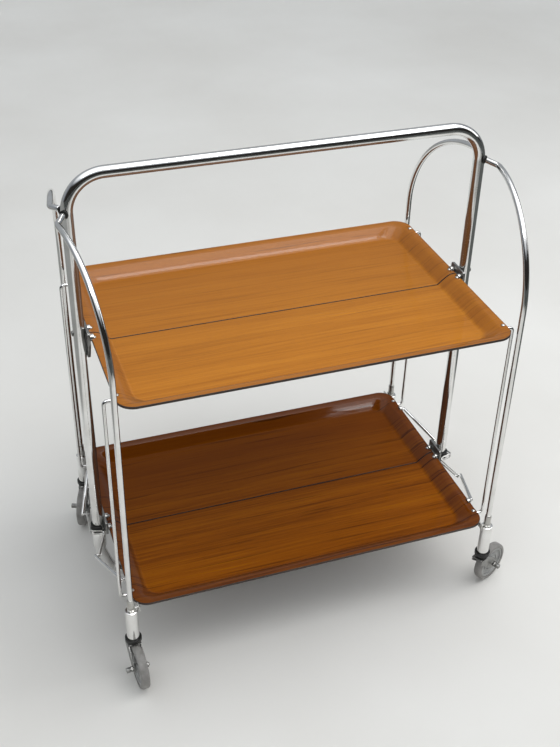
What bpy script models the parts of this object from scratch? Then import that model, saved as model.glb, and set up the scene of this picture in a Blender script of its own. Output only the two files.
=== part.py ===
"""A folding serving trolley with two dished wooden trays on a chromed tube frame.

Units are metres, +Z is up, X runs along the push bar and the front is at -Y. The origin is on the
floor below the middle of the outer bounds. The casters stand turned, which puts that point a little
off the middle of the frame, so all places below count from the frame and one empty carries the shift.
Each tray is split along the middle, and its halves fold up about hinges on the handle tube. Tie rods
carry the fold from the upper to the lower halves, ferrules on the lower corners slide up the leg
rods, and the legs close towards the tube.
"""

import math

import bmesh
import bpy
from mathutils import Matrix, Vector

NAME = "folding_serving_trolley"

# From the middle of the outer bounds to the middle of the frame
FRAME_SHIFT_X = -0.0131
FRAME_SHIFT_Y = 0.0131

# Clearances between pieces
CONTACT_GAP = 0.0003
RUNNING_GAP = 0.0004
CUT_OVERRUN = 0.004
MERGE = 0.00001

# Trays
TRAY_LENGTH = 0.600
TRAY_DEPTH = 0.402
TRAY_THICKNESS = 0.004
TRAY_SINK = 0.017
TRAY_CORNER_RADIUS = 0.026
FLOOR_CORNER_RADIUS = 0.021
LIP_WIDTH = 0.033
SEAM_GAP = 0.0012
LOWER_RIM = 0.143
TRAY_SPACING = 0.372
LIP_WIDTH_SHARES = (0, 0.16, 0.33, 0.44, 0.70, 0.86, 0.94, 1)
LIP_SINK_SHARES = (0, 0.02, 0.09, 0.20, 0.58, 0.89, 0.98, 1)

# Handle tube and lower frame tube
TUBE_RADIUS = 0.009
TUBE_OUTSET = 0.015
HANDLE_RISE = 0.250
HANDLE_BEND = 0.055
TUBE_JOINT_DROP = 0.030
FRAME_KNEE = 0.086
FRAME_KNEE_BEND = 0.060
FRAME_BAR_INSET = 0.019
FRAME_BAR = 0.024
FRAME_BAR_BEND = 0.045
COLLAR_WALL = 0.0019
COLLAR_BELOW_JOINT = 0.0175
COLLAR_ABOVE_JOINT = 0.017

# Hinges of the tray halves
HINGE_Y = 0.013
HINGE_PIN_RADIUS = 0.002
EAR_RADIUS = 0.0055
EAR_THICKNESS = 0.0022
EAR_SINK = 0.0008
BRACKET_HALF_WIDTH = 0.021
BRACKET_CORNER = 0.004
UPPER_BRACKET_RISE = 0.010
UPPER_BRACKET_DROP = 0.040
LOWER_BRACKET_RISE = 0.014
LOWER_BRACKET_DROP = 0.0122
UPPER_BRACKET_TOE = 0.006
LOWER_BRACKET_TOE = 0.016
RIVET_SHANK_RADIUS = 0.0024
RIVET_HEAD_RADIUS = 0.0045
RIVET_HEAD_HEIGHT = 0.0022
UPPER_RIVET_RISE = 0.003
LOWER_RIVET_RISE = 0.007
BLIND_RIVET_LENGTH = 0.007

# Arched legs
PIVOT_Y = 0.0115
PIVOT_RISE = 0.003
STUB_RUN_X = 0.0183
STUB_RUN_Y = 0.029
STUB_BEND = 0.012
ARCH_DROP = 0.055
ARCH_FLAT = 0.010
LEG_OUTSET = 0.005
LEG_INSET = 0.003
ROD_RADIUS = 0.0045
ROD_SEAT = 0.024
GROMMET_RADIUS = 0.0065
GROMMET_EDGE = 0.0020
GROMMET_DOME = 0.0011
SLEEVE_RADIUS = 0.010
SLEEVE_DROP = 0.008
SLEEVE_RIM = 0.0012

# Ferrules that slide on the legs
FERRULE_BASE_RADIUS = 0.0059
FERRULE_BASE_HEIGHT = 0.005
FERRULE_TOP_RADIUS = 0.0054
FERRULE_HEIGHT = 0.022
FERRULE_PIN_DROP = 0.0055
FERRULE_PIN_PROUD = 0.0005

# Lugs and rivets on the trays
LUG_THICKNESS = 0.0025
LUG_HALF_WIDTH = 0.005
TIE_LUG_INSET = 0.0065
TIE_LUG_TOP = 0.003
TIE_LUG_DROP = 0.0145
CORNER_LUG_INSET = 0.0085
CORNER_LUG_INWARD = 0.014
CORNER_LUG_OUTWARD = 0.0052
CORNER_LUG_TOP = 0.001
CORNER_LUG_DROP = 0.0105
TRAY_RIVET_RADIUS = 0.0033
TRAY_RIVET_HEIGHT = 0.0026
TRAY_RIVET_SINK = 0.0006
TRAY_RIVET_INSET = 0.0045
TRAY_RIVET_NEAR = 0.0135
TRAY_RIVET_FROM_BACK = 0.035

# Tie rods
TIE_OUTSET = 0.014
TIE_FROM_BACK = 0.037
TIE_DROP = 0.009
TIE_RADIUS = 0.00275
TIE_BEND = 0.006
TIE_TIP_PROUD = 0.002

# Slide clips, yokes and links
CLIP_RISE = 0.0035
CLIP_HEIGHT = 0.010
CLIP_WALL = 0.0030
CLIP_MOUTH = math.radians(130)
YOKE_RADIUS = 0.0013
YOKE_SPLIT = 0.003
YOKE_OUTSET = 0.0102
YOKE_Y = 0.052
YOKE_DROP = 0.0115
YOKE_WRAP_INSET = 0.0085
YOKE_WRAP_Y = 0.0147
YOKE_WRAP_RISE = 0.0005
YOKE_SIDE_OUTSET = 0.0150
YOKE_SIDE_RISE = 0.0055
YOKE_BEND = 0.005
LINK_OUTSET = 0.0172
LINK_RADIUS = 0.0029
LINK_END_OUTSET = 0.005
LINK_EAR_FROM_BACK = 0.061
LINK_EAR_DROP = 0.001
LINK_PIN_RADIUS = 0.0022
EYE_PIN_RADIUS = 0.0012
EYE_PIN_REACH = 0.0025

# Casters
WHEEL_RADIUS = 0.035
WHEEL_WIDTH = 0.0145
TYRE_DEPTH = 0.0068
TYRE_SHOULDER = 0.0022
TRAIL = 0.027
HUB_RADIUS = 0.007
WEB_HALF = 0.0030
RIM_HALF = 0.0058
RIM_DEPTH = 0.0030
AXLE_RADIUS = 0.0025
FORK_INNER = 0.0088
FORK_THICKNESS = 0.0018
FORK_BRIDGE_HEIGHT = 0.0018
FORK_BACK = 0.0125
FORK_FRONT = 0.0045
FORK_WAIST = 0.0080
FORK_EYE_RADIUS = 0.0065
FORK_EYE_START = math.radians(60)
FORK_EYE_TURN = math.radians(240)
HEAD_DROP = 0.0054
HEAD_RIM = 0.0065
HEAD_FOOT_RADIUS = 0.0115
HEAD_RADIUS = 0.013
STEM_RADIUS = 0.004
STEM_HEADROOM = 0.013
WHEEL_CLEARANCE = 0.0014
NUT_FLATS = 0.008
NUT_THICKNESS = 0.0036
SMALL_NUT_FLATS = 0.0075
SQUARE_END_SIDE = 0.0062
SQUARE_END_LENGTH = 0.0075

# Trail directions of the casters as they stand, as turns from +X
CASTER_TURNS = {
    "front_left": math.radians(-86),
    "front_right": math.radians(24.9),
    "rear_left": math.radians(-111.2),
    "rear_right": math.radians(30),
}

# Facets
BEND_STEPS = 6
ARCH_STEPS = 12
TUBE_FACETS = 5
ROD_FACETS = 4
WIRE_FACETS = 2
ROUND_STEPS = 16
WHEEL_STEPS = 24
CORNER_STEPS = 5
EYE_STEPS = 5
EYE_FACETS = 7
YOKE_STEPS = 3
PIN_SIDES = 12
DOME_RINGS = 4

# Heights worked out from the sizes above, from the rims of the two trays and the top of the wheels
UPPER_RIM = LOWER_RIM + TRAY_SPACING
HANDLE_TOP = UPPER_RIM + HANDLE_RISE
ARCH_TOP = HANDLE_TOP - ARCH_DROP
PIVOT_Z = ARCH_TOP + PIVOT_RISE
TUBE_JOINT = LOWER_RIM - TUBE_JOINT_DROP
COLLAR_LOW = TUBE_JOINT - COLLAR_BELOW_JOINT
COLLAR_TOP = TUBE_JOINT + COLLAR_ABOVE_JOINT
CLIP_LOW = COLLAR_TOP + CLIP_RISE
YOKE_Z = CLIP_LOW - YOKE_DROP
YOKE_WRAP_Z = CLIP_LOW + YOKE_WRAP_RISE
YOKE_SIDE_Z = CLIP_LOW + YOKE_SIDE_RISE
SLEEVE_TOP = LOWER_RIM - SLEEVE_DROP
FERRULE_TOP = SLEEVE_TOP + FERRULE_HEIGHT
FERRULE_PIN_Z = LOWER_RIM - FERRULE_PIN_DROP
STEM_TOP = SLEEVE_TOP - ROD_SEAT - STEM_HEADROOM
HEAD_FLOOR = 2 * WHEEL_RADIUS
HEAD_LOW = HEAD_FLOOR - HEAD_DROP
HEAD_TOP = HEAD_FLOOR + HEAD_RIM
SLEEVE_LOW = HEAD_FLOOR + CONTACT_GAP
FORK_BRIDGE_TOP = HEAD_LOW - CONTACT_GAP
FORK_BRIDGE_LOW = FORK_BRIDGE_TOP - FORK_BRIDGE_HEIGHT

# Places along X worked out from the ends of the trays
TRAY_END = TRAY_LENGTH / 2
HANDLE_X = TRAY_END + TUBE_OUTSET
FRAME_BAR_X = HANDLE_X - FRAME_BAR_INSET
EAR_INNER_X = TRAY_END - EAR_SINK
EAR_OUTER_X = EAR_INNER_X + EAR_THICKNESS
BRACKET_INNER_X = EAR_OUTER_X + RUNNING_GAP
BRACKET_OUTER_X = HANDLE_X - TUBE_RADIUS - CONTACT_GAP
PIN_TIP_X = TRAY_END + RUNNING_GAP
LEG_X = TRAY_END + LEG_OUTSET
PIVOT_X = HANDLE_X + PIVOT_Y * STUB_RUN_X / STUB_RUN_Y
TIE_X = TRAY_END + TIE_OUTSET
TIE_LUG_X = TRAY_END - TIE_LUG_INSET
TIE_TIP_X = TIE_LUG_X - TIE_TIP_PROUD
CORNER_LUG_X = TRAY_END - CORNER_LUG_INSET
FERRULE_PIN_TIP_X = CORNER_LUG_X - FERRULE_PIN_PROUD
TRAY_RIVET_X = TRAY_END - TRAY_RIVET_INSET
YOKE_X = HANDLE_X + YOKE_OUTSET
YOKE_WRAP_X = HANDLE_X - YOKE_WRAP_INSET
YOKE_SIDE_X = HANDLE_X + YOKE_SIDE_OUTSET
LINK_X = HANDLE_X + LINK_OUTSET
LINK_END_X = TRAY_END + LINK_END_OUTSET
FORK_OUTER = FORK_INNER + FORK_THICKNESS

# Places along Y worked out from the back of the trays
TRAY_BACK = TRAY_DEPTH / 2
LEG_Y = TRAY_BACK - LEG_INSET
ARCH_RADIUS = LEG_Y - STUB_RUN_Y - ARCH_FLAT
TIE_Y = TRAY_BACK - TIE_FROM_BACK
TRAY_RIVET_FAR = TRAY_BACK - TRAY_RIVET_FROM_BACK
LINK_EAR_Y = TRAY_BACK - LINK_EAR_FROM_BACK
CORNER_LUG_NEAR = LEG_Y - CORNER_LUG_INWARD
CORNER_LUG_FAR = LEG_Y + CORNER_LUG_OUTWARD
STUB = Vector((STUB_RUN_X, STUB_RUN_Y, 0))

FINISHES = {
    "chrome": ((0.80, 0.80, 0.80), 0.12, 1),
    "teak": ((0.46, 0.21, 0.06), 0.35, 0),
    "black": ((0.02, 0.02, 0.02), 0.45, 0),
    "steel": ((0.55, 0.55, 0.54), 0.35, 1),
    "grey_plastic": ((0.42, 0.42, 0.41), 0.45, 0),
    "tyre": ((0.30, 0.29, 0.28), 0.60, 0),
}

SIDES = {"left": -1, "right": 1}
ENDS = {"front": -1, "rear": 1}


def clear_scene():
    for thing in list(bpy.data.objects):
        bpy.data.objects.remove(thing)


def make_collection(name):
    group = bpy.data.collections.new(name)
    bpy.context.scene.collection.children.link(group)
    return group


def make_material(name):
    colour, roughness, metallic = FINISHES[name]
    material = bpy.data.materials.new(name)
    material.use_nodes = True
    shader = material.node_tree.nodes["Principled BSDF"]
    shader.inputs["Base Color"].default_value = (*colour, 1)
    shader.inputs["Roughness"].default_value = roughness
    shader.inputs["Metallic"].default_value = metallic
    return material


def make_root():
    """The empty at the middle of the frame, which carries everything."""
    root = bpy.data.objects.new("trolley", None)
    PARTS.objects.link(root)
    root.location = (FRAME_SHIFT_X, FRAME_SHIFT_Y, 0)
    return root


clear_scene()
PARTS = make_collection(NAME)
CUTTERS = make_collection("cutters")
ROOT = make_root()
MATERIALS = {name: make_material(name) for name in FINISHES}


# Placing

def anchor(name, place, parent=None, turn=0.0):
    """An empty on a joint axis, which carries the pieces of one moving body."""
    empty = bpy.data.objects.new(name, None)
    PARTS.objects.link(empty)
    empty["place"] = tuple(place)
    start = Vector(parent["place"]) if parent else Vector()
    empty.parent = parent or ROOT
    empty.location = Vector(place) - start
    empty.rotation_euler = (0, 0, turn)
    return empty


def add_object(name, data, finish, parent=None, collection=None):
    piece = bpy.data.objects.new(name, data)
    (collection or PARTS).objects.link(piece)
    if finish:
        data.materials.clear()
        data.materials.append(MATERIALS[finish])
    piece.parent = parent or ROOT
    return piece


def local(point, parent):
    """A place in the frame as seen from the empty that carries the piece."""
    return Vector(point) - Vector(parent["place"]) if parent else Vector(point)


# Paths

def rounded(corners, radii, steps=BEND_STEPS):
    """The points of a path with an arc of the given radius at each inner corner."""
    points = [corners[0]]
    for before, corner, after, radius in zip(corners, corners[1:], corners[2:], radii):
        back = (before - corner).normalized()
        ahead = (after - corner).normalized()
        half_turn = (math.pi - back.angle(ahead)) / 2
        middle = corner + (back + ahead).normalized() * radius / math.cos(half_turn)
        spoke = corner + back * radius * math.tan(half_turn) - middle
        onward = -back * radius
        for step in range(steps + 1):
            angle = 2 * half_turn * step / steps
            points.append(middle + spoke * math.cos(angle) + onward * math.sin(angle))
    points.append(corners[-1])
    return points


def wire(name, points, radius, facets, finish, parent=None, closed=False):
    """A rod or tube along points given as places in the frame."""
    curve = bpy.data.curves.new(name, "CURVE")
    curve.dimensions = "3D"
    curve.bevel_depth = radius
    curve.bevel_resolution = facets
    curve.use_fill_caps = not closed
    spline = curve.splines.new("POLY")
    spline.points.add(len(points) - 1)
    for slot, point in zip(spline.points, points):
        slot.co = (*local(point, parent), 1)
    spline.use_cyclic_u = closed
    return add_object(name, curve, finish, parent)


def as_mesh(piece):
    """The same piece as a mesh with its caps welded, so that it can be cut."""
    bpy.context.view_layer.update()
    evaluated = piece.evaluated_get(bpy.context.evaluated_depsgraph_get())
    data = bpy.data.meshes.new_from_object(evaluated)
    shape = bmesh.new()
    shape.from_mesh(data)
    bmesh.ops.remove_doubles(shape, verts=shape.verts, dist=MERGE)
    bmesh.ops.recalc_face_normals(shape, faces=shape.faces)
    shape.to_mesh(data)
    shape.free()
    name = piece.name
    place = piece.matrix_world.copy()
    parent = piece.parent
    bpy.data.objects.remove(piece)
    solid = add_object(name, data, None, parent)
    solid.matrix_world = place
    return solid


# Solids

def finish_mesh(shape, name):
    data = bpy.data.meshes.new(name)
    shape.to_mesh(data)
    shape.free()
    return data


def cylinder_data(name, radius, start, end, sides=PIN_SIDES, top_radius=None):
    """A closed cylinder or cone between two points."""
    shape = bmesh.new()
    run = Vector(end) - Vector(start)
    bmesh.ops.create_cone(
        shape,
        cap_ends=True,
        segments=sides,
        radius1=radius,
        radius2=radius if top_radius is None else top_radius,
        depth=run.length,
    )
    turn = run.to_track_quat("Z", "Y").to_matrix().to_4x4()
    middle = Matrix.Translation((Vector(start) + Vector(end)) / 2)
    bmesh.ops.transform(shape, matrix=middle @ turn, verts=shape.verts)
    return finish_mesh(shape, name)


def box_data(name, low, high):
    shape = bmesh.new()
    bmesh.ops.create_cube(shape, size=1)
    size = Vector(high) - Vector(low)
    middle = (Vector(high) + Vector(low)) / 2
    scale = Matrix.Diagonal((abs(size.x), abs(size.y), abs(size.z), 1))
    bmesh.ops.transform(shape, matrix=Matrix.Translation(middle) @ scale, verts=shape.verts)
    return finish_mesh(shape, name)


def dome_data(name, radius, height, centre, axis="Z"):
    shape = bmesh.new()
    bmesh.ops.create_uvsphere(shape, u_segments=PIN_SIDES, v_segments=DOME_RINGS, radius=1)
    sizes = {"Z": (radius, radius, height), "X": (height, radius, radius)}[axis]
    place = Matrix.Translation(Vector(centre)) @ Matrix.Diagonal((*sizes, 1))
    bmesh.ops.transform(shape, matrix=place, verts=shape.verts)
    return finish_mesh(shape, name)


def turned(name, profile, finish, parent=None, steps=ROUND_STEPS, closed=False):
    """A shape turned about its own Z from (radius, height) pairs, down its outer side."""
    shape = bmesh.new()
    verts = [shape.verts.new((radius, 0, height)) for radius, height in profile]
    pairs = list(zip(verts, verts[1:]))
    if closed:
        pairs.append((verts[-1], verts[0]))
    for first, second in pairs:
        shape.edges.new((first, second))
    piece = add_object(name, finish_mesh(shape, name), finish, parent)
    screw = piece.modifiers.new("turn", "SCREW")
    screw.steps = steps
    screw.render_steps = steps
    screw.use_merge_vertices = True
    screw.merge_threshold = MERGE
    screw.use_smooth_shade = False
    return piece


def outline_data(name, outline, thickness, holes=()):
    """A flat plate in the local XY plane, centred on its thickness."""
    curve = bpy.data.curves.new(name, "CURVE")
    curve.dimensions = "2D"
    curve.fill_mode = "BOTH"
    curve.extrude = thickness / 2
    for points in (outline, *holes):
        spline = curve.splines.new("POLY")
        spline.points.add(len(points) - 1)
        for slot, (x, y) in zip(spline.points, points):
            slot.co = (x, y, 0, 1)
        spline.use_cyclic_u = True
    return curve


def circle(radius, centre=(0, 0), sides=PIN_SIDES):
    turns = [2 * math.pi * step / sides for step in range(sides)]
    return [(centre[0] + radius * math.cos(a), centre[1] + radius * math.sin(a)) for a in turns]


def rounded_outline(corners, radius, steps=3):
    """A closed outline of (x, y) corners with each corner rounded."""
    points = [Vector((*corner, 0)) for corner in corners]
    out = []
    for index, corner in enumerate(points):
        before = points[index - 1]
        after = points[(index + 1) % len(points)]
        arc = rounded([before, corner, after], [radius], steps)[1:-1]
        out += [(point.x, point.y) for point in arc]
    return out


def boolean(piece, operation, operands):
    """Join or cut a piece with meshes given in the frame."""
    group = bpy.data.collections.new(piece.name + "_" + operation.lower())
    CUTTERS.children.link(group)
    for data in operands:
        helper = bpy.data.objects.new(data.name, data)
        group.objects.link(helper)
        helper.parent = ROOT
        helper.hide_render = True
        helper.display_type = "WIRE"
    change = piece.modifiers.new(operation.lower(), "BOOLEAN")
    change.operation = operation
    change.solver = "EXACT"
    change.operand_type = "COLLECTION"
    change.collection = group


# Frame

def u_path(side_x, low, corners, radii):
    left = [Vector((-x, 0, z)) for x, z in corners]
    right = [Vector((x, 0, z)) for x, z in reversed(corners)]
    path = [Vector((-side_x, 0, low)), *left, *right, Vector((side_x, 0, low))]
    return rounded(path, [*radii, *reversed(radii)])


def rivet_hole(rim, rise, side, through):
    """The hole in the tube for the shank of a bracket's rivet."""
    inner = HANDLE_X - TUBE_RADIUS - CUT_OVERRUN
    blind = HANDLE_X - TUBE_RADIUS + BLIND_RIVET_LENGTH + CONTACT_GAP
    outer = HANDLE_X + TUBE_RADIUS + CUT_OVERRUN if through else blind
    height = rim + rise
    return cylinder_data(
        "rivet_hole",
        RIVET_SHANK_RADIUS + CONTACT_GAP,
        (side * inner, 0, height),
        (side * outer, 0, height),
    )


def make_frame():
    low = TUBE_JOINT + CONTACT_GAP
    path = u_path(HANDLE_X, low, [(HANDLE_X, HANDLE_TOP)], [HANDLE_BEND])
    handle = as_mesh(wire("handle_tube", path, TUBE_RADIUS, TUBE_FACETS, "chrome"))
    holes = [rivet_hole(UPPER_RIM, UPPER_RIVET_RISE, side, True) for side in SIDES.values()]
    holes += [rivet_hole(LOWER_RIM, LOWER_RIVET_RISE, side, False) for side in SIDES.values()]
    boolean(handle, "DIFFERENCE", holes)
    corners = [(HANDLE_X, FRAME_KNEE), (FRAME_BAR_X, FRAME_BAR)]
    path = u_path(HANDLE_X, TUBE_JOINT, corners, [FRAME_KNEE_BEND, FRAME_BAR_BEND])
    wire("lower_frame_tube", path, TUBE_RADIUS, TUBE_FACETS, "chrome")
    for side_name, side in SIDES.items():
        bore = TUBE_RADIUS + CONTACT_GAP
        outer = bore + COLLAR_WALL
        profile = [(bore, COLLAR_TOP), (outer, COLLAR_TOP), (outer, COLLAR_LOW), (bore, COLLAR_LOW)]
        collar = turned("joint_collar_" + side_name, profile, "chrome", closed=True)
        collar.location = (side * HANDLE_X, 0, 0)


def bracket_outline(rise, drop, toe):
    top = [(-BRACKET_HALF_WIDTH, rise), (BRACKET_HALF_WIDTH, rise)]
    bottom = [(toe, -drop), (-toe, -drop)]
    shoulder = min(drop, EAR_RADIUS + BRACKET_CORNER)
    right = [(BRACKET_HALF_WIDTH, -shoulder)]
    left = [(-BRACKET_HALF_WIDTH, -shoulder)]
    return rounded_outline(top[::-1] + left + bottom[::-1] + right, BRACKET_CORNER)


def make_bracket(name, rim, side, rise, drop, toe, rivet_rise, through):
    thickness = BRACKET_OUTER_X - BRACKET_INNER_X
    plate = outline_data(name, bracket_outline(rise, drop, toe), thickness)
    bracket = add_object(name, plate, "steel")
    bracket.rotation_euler = (math.pi / 2, 0, math.pi / 2)
    bracket.location = (side * (BRACKET_INNER_X + BRACKET_OUTER_X) / 2, 0, rim)
    bracket = as_mesh(bracket)
    middle_x = side * (BRACKET_INNER_X + BRACKET_OUTER_X) / 2
    pins = []
    for end in ENDS.values():
        start = (side * PIN_TIP_X, end * HINGE_Y, rim)
        pins.append(cylinder_data("pin", HINGE_PIN_RADIUS, start, (middle_x, end * HINGE_Y, rim)))
    height = rim + rivet_rise
    tube_outer = HANDLE_X + TUBE_RADIUS
    through_tip = tube_outer + RIVET_HEAD_HEIGHT / 2 + CONTACT_GAP
    blind_tip = BRACKET_OUTER_X + BLIND_RIVET_LENGTH
    tip = (side * (through_tip if through else blind_tip), 0, height)
    pins.append(cylinder_data("shank", RIVET_SHANK_RADIUS, (middle_x, 0, height), tip))
    boolean(bracket, "UNION", pins)
    if through:
        head_start = tube_outer + CONTACT_GAP
        head = cylinder_data(
            "head",
            RIVET_HEAD_RADIUS,
            (side * head_start, 0, height),
            (side * (head_start + RIVET_HEAD_HEIGHT), 0, height),
            top_radius=RIVET_SHANK_RADIUS,
        )
        boolean(bracket, "UNION", [head])


def make_brackets():
    for side_name, side in SIDES.items():
        make_bracket(
            "hinge_bracket_upper_" + side_name,
            UPPER_RIM,
            side,
            UPPER_BRACKET_RISE,
            UPPER_BRACKET_DROP,
            UPPER_BRACKET_TOE,
            UPPER_RIVET_RISE,
            True,
        )
        make_bracket(
            "hinge_bracket_lower_" + side_name,
            LOWER_RIM,
            side,
            LOWER_BRACKET_RISE,
            LOWER_BRACKET_DROP,
            LOWER_BRACKET_TOE,
            LOWER_RIVET_RISE,
            False,
        )


def make_grommet(name, side, end):
    """A domed bush between the tube and the end of an arched leg."""
    direction = Vector((side * STUB.x, end * STUB.y, 0)).normalized()
    start = TUBE_RADIUS + CONTACT_GAP
    tip = PIVOT_Y * STUB.length / STUB_RUN_Y - CONTACT_GAP
    profile = [(0, tip), (GROMMET_RADIUS / 2, tip - GROMMET_DOME), (GROMMET_RADIUS, start + GROMMET_EDGE)]
    profile += [(GROMMET_RADIUS, start), (0, start)]
    grommet = turned(name, profile, "black")
    grommet.location = (side * HANDLE_X, 0, PIVOT_Z)
    grommet.rotation_euler = direction.to_track_quat("Z", "Y").to_euler()


# Trays

def outline_ring(inset, corner_radius, sink):
    """One ring of the rear half of a tray, from the seam round both corners to the seam."""
    half_length = TRAY_END - inset
    back = TRAY_BACK - inset
    seam = SEAM_GAP / 2
    points = [(-half_length, seam), (-half_length, (seam + back - corner_radius) / 2)]
    for start, side in ((math.pi, -1), (math.pi / 2, 1)):
        centre = Vector((side * (half_length - corner_radius), back - corner_radius))
        for step in range(CORNER_STEPS + 1):
            angle = start - math.pi / 2 * step / CORNER_STEPS
            x = centre.x + corner_radius * math.cos(angle)
            y = centre.y + corner_radius * math.sin(angle)
            points.append((x, y))
    points += [(half_length, (seam + back - corner_radius) / 2), (half_length, seam)]
    return [Vector((x, y, -sink)) for x, y in points]


def tray_data():
    """The dished upper face of a tray half, seen from above, open along the seam."""
    shape = bmesh.new()
    rings = []
    for width_share, sink_share in zip(LIP_WIDTH_SHARES, LIP_SINK_SHARES):
        radius = TRAY_CORNER_RADIUS + (FLOOR_CORNER_RADIUS - TRAY_CORNER_RADIUS) * width_share
        ring = outline_ring(LIP_WIDTH * width_share, radius, TRAY_SINK * sink_share)
        rings.append([shape.verts.new(point) for point in ring])
    for outer, inner in zip(rings, rings[1:]):
        for index in range(len(outer) - 1):
            shape.faces.new((outer[index], inner[index], inner[index + 1], outer[index + 1]))
    shape.faces.new(rings[-1][::-1])
    bmesh.ops.recalc_face_normals(shape, faces=shape.faces)
    if sum(face.normal.z for face in shape.faces) < 0:
        bmesh.ops.reverse_faces(shape, faces=shape.faces)
    return finish_mesh(shape, "tray_half")


def lug_plate(name, x, near, far, low, high, side, end):
    low_corner = (side * x, end * near, low)
    high_corner = (side * (x + LUG_THICKNESS), end * far, high)
    return box_data(name, low_corner, high_corner)


def tray_fittings(rim, side, end, lower):
    """The steel lugs, ears and rivets of one end of a tray half."""
    hinge = (EAR_INNER_X, end * HINGE_Y, rim)
    parts = [ear("hinge_ear", hinge, side)]
    parts.append(
        lug_plate(
            "tie_lug",
            TIE_LUG_X,
            TIE_Y - LUG_HALF_WIDTH,
            TIE_Y + LUG_HALF_WIDTH,
            rim - TIE_LUG_DROP,
            rim - TIE_LUG_TOP,
            side,
            end,
        )
    )
    for y in (TRAY_RIVET_NEAR, TRAY_RIVET_FAR):
        centre = (side * TRAY_RIVET_X, end * y, rim - TRAY_RIVET_SINK)
        parts.append(dome_data("tray_rivet", TRAY_RIVET_RADIUS, TRAY_RIVET_HEIGHT, centre))
    if lower:
        parts.append(ear("link_ear", (EAR_INNER_X, end * LINK_EAR_Y, rim - LINK_EAR_DROP), side))
        parts.append(
            lug_plate(
                "corner_lug",
                CORNER_LUG_X,
                CORNER_LUG_NEAR,
                CORNER_LUG_FAR,
                rim - CORNER_LUG_DROP,
                rim - CORNER_LUG_TOP,
                side,
                end,
            )
        )
    return parts


def ear(name, centre, side):
    x, y, z = centre
    return cylinder_data(name, EAR_RADIUS, (side * x, y, z), (side * (x + EAR_THICKNESS), y, z))


def tray_holes(rim, side, end, lower):
    """The holes for hinge pins, tie rods and ferrule pins at one end of a tray half."""
    hinge_start = TRAY_END
    hinge_end = EAR_OUTER_X + CUT_OVERRUN
    y = end * HINGE_Y
    holes = [
        cylinder_data(
            "hinge_hole",
            HINGE_PIN_RADIUS + CONTACT_GAP,
            (side * hinge_start, y, rim),
            (side * hinge_end, y, rim),
        )
    ]
    holes.append(cross_hole("tie_hole", TIE_RADIUS, TIE_LUG_X, (end * TIE_Y, rim - TIE_DROP), side))
    if lower:
        place = (end * LEG_Y, FERRULE_PIN_Z)
        holes.append(cross_hole("corner_hole", HINGE_PIN_RADIUS, CORNER_LUG_X, place, side))
    return holes


def cross_hole(name, pin_radius, lug_x, place, side):
    start = lug_x - CUT_OVERRUN
    end = lug_x + LUG_THICKNESS + CUT_OVERRUN
    radius = pin_radius + CONTACT_GAP
    return cylinder_data(name, radius, (side * start, *place), (side * end, *place), PIN_SIDES)


def make_tray_half(level, rim, end_name, end, data, lower):
    hinge = anchor(f"tray_{level}_{end_name}_hinge", (0, end * HINGE_Y, rim))
    half = add_object(f"tray_{level}_{end_name}", data, "teak", hinge)
    half.rotation_euler = (0, 0, 0 if end > 0 else math.pi)
    half.location = (0, -end * HINGE_Y, 0)
    shell = half.modifiers.new("thickness", "SOLIDIFY")
    shell.thickness = TRAY_THICKNESS
    shell.offset = -1
    shell.use_even_offset = True
    sides = SIDES.values()
    boolean(half, "UNION", [part for side in sides for part in tray_fittings(rim, side, end, lower)])
    boolean(half, "DIFFERENCE", [hole for side in sides for hole in tray_holes(rim, side, end, lower)])
    return hinge


# Legs

def leg_path(side, end):
    start = (PIVOT_X, PIVOT_Y, PIVOT_Z)
    knee = (HANDLE_X + STUB_RUN_X, STUB_RUN_Y, ARCH_TOP)
    corners = [start, knee, (LEG_X, LEG_Y, ARCH_TOP), (LEG_X, LEG_Y, SLEEVE_TOP - ROD_SEAT)]
    points = [Vector((side * x, end * y, z)) for x, y, z in corners]
    bend = rounded(points[:3], [STUB_BEND], BEND_STEPS // 2)[:-1]
    arch = rounded(points[1:], [ARCH_RADIUS], ARCH_STEPS)[1:]
    return bend + arch


def make_leg(name, side, end, lower_hinge):
    pivot = anchor("leg_" + name + "_pin", (side * LEG_X, end * LEG_Y, FERRULE_PIN_Z), lower_hinge)
    make_ferrule("ferrule_" + name, side, end, pivot)
    slide = anchor("leg_" + name + "_slide", (side * LEG_X, end * LEG_Y, FERRULE_PIN_Z), pivot)
    wire("leg_rod_" + name, leg_path(side, end), ROD_RADIUS, ROD_FACETS, "chrome", slide)
    bore = ROD_RADIUS + CONTACT_GAP
    stem_bore = STEM_RADIUS + RUNNING_GAP
    profile = [
        (0, SLEEVE_TOP - ROD_SEAT - CONTACT_GAP),
        (bore, SLEEVE_TOP - ROD_SEAT - CONTACT_GAP),
        (bore, SLEEVE_TOP),
        (SLEEVE_RADIUS - SLEEVE_RIM, SLEEVE_TOP),
        (SLEEVE_RADIUS, SLEEVE_TOP - SLEEVE_RIM),
        (SLEEVE_RADIUS, SLEEVE_LOW),
        (stem_bore, SLEEVE_LOW),
        (stem_bore, STEM_TOP + RUNNING_GAP),
        (0, STEM_TOP + RUNNING_GAP),
    ]
    sleeve = turned("leg_sleeve_" + name, profile, "chrome", slide)
    sleeve.location = (0, 0, -FERRULE_PIN_Z)
    return slide


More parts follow.
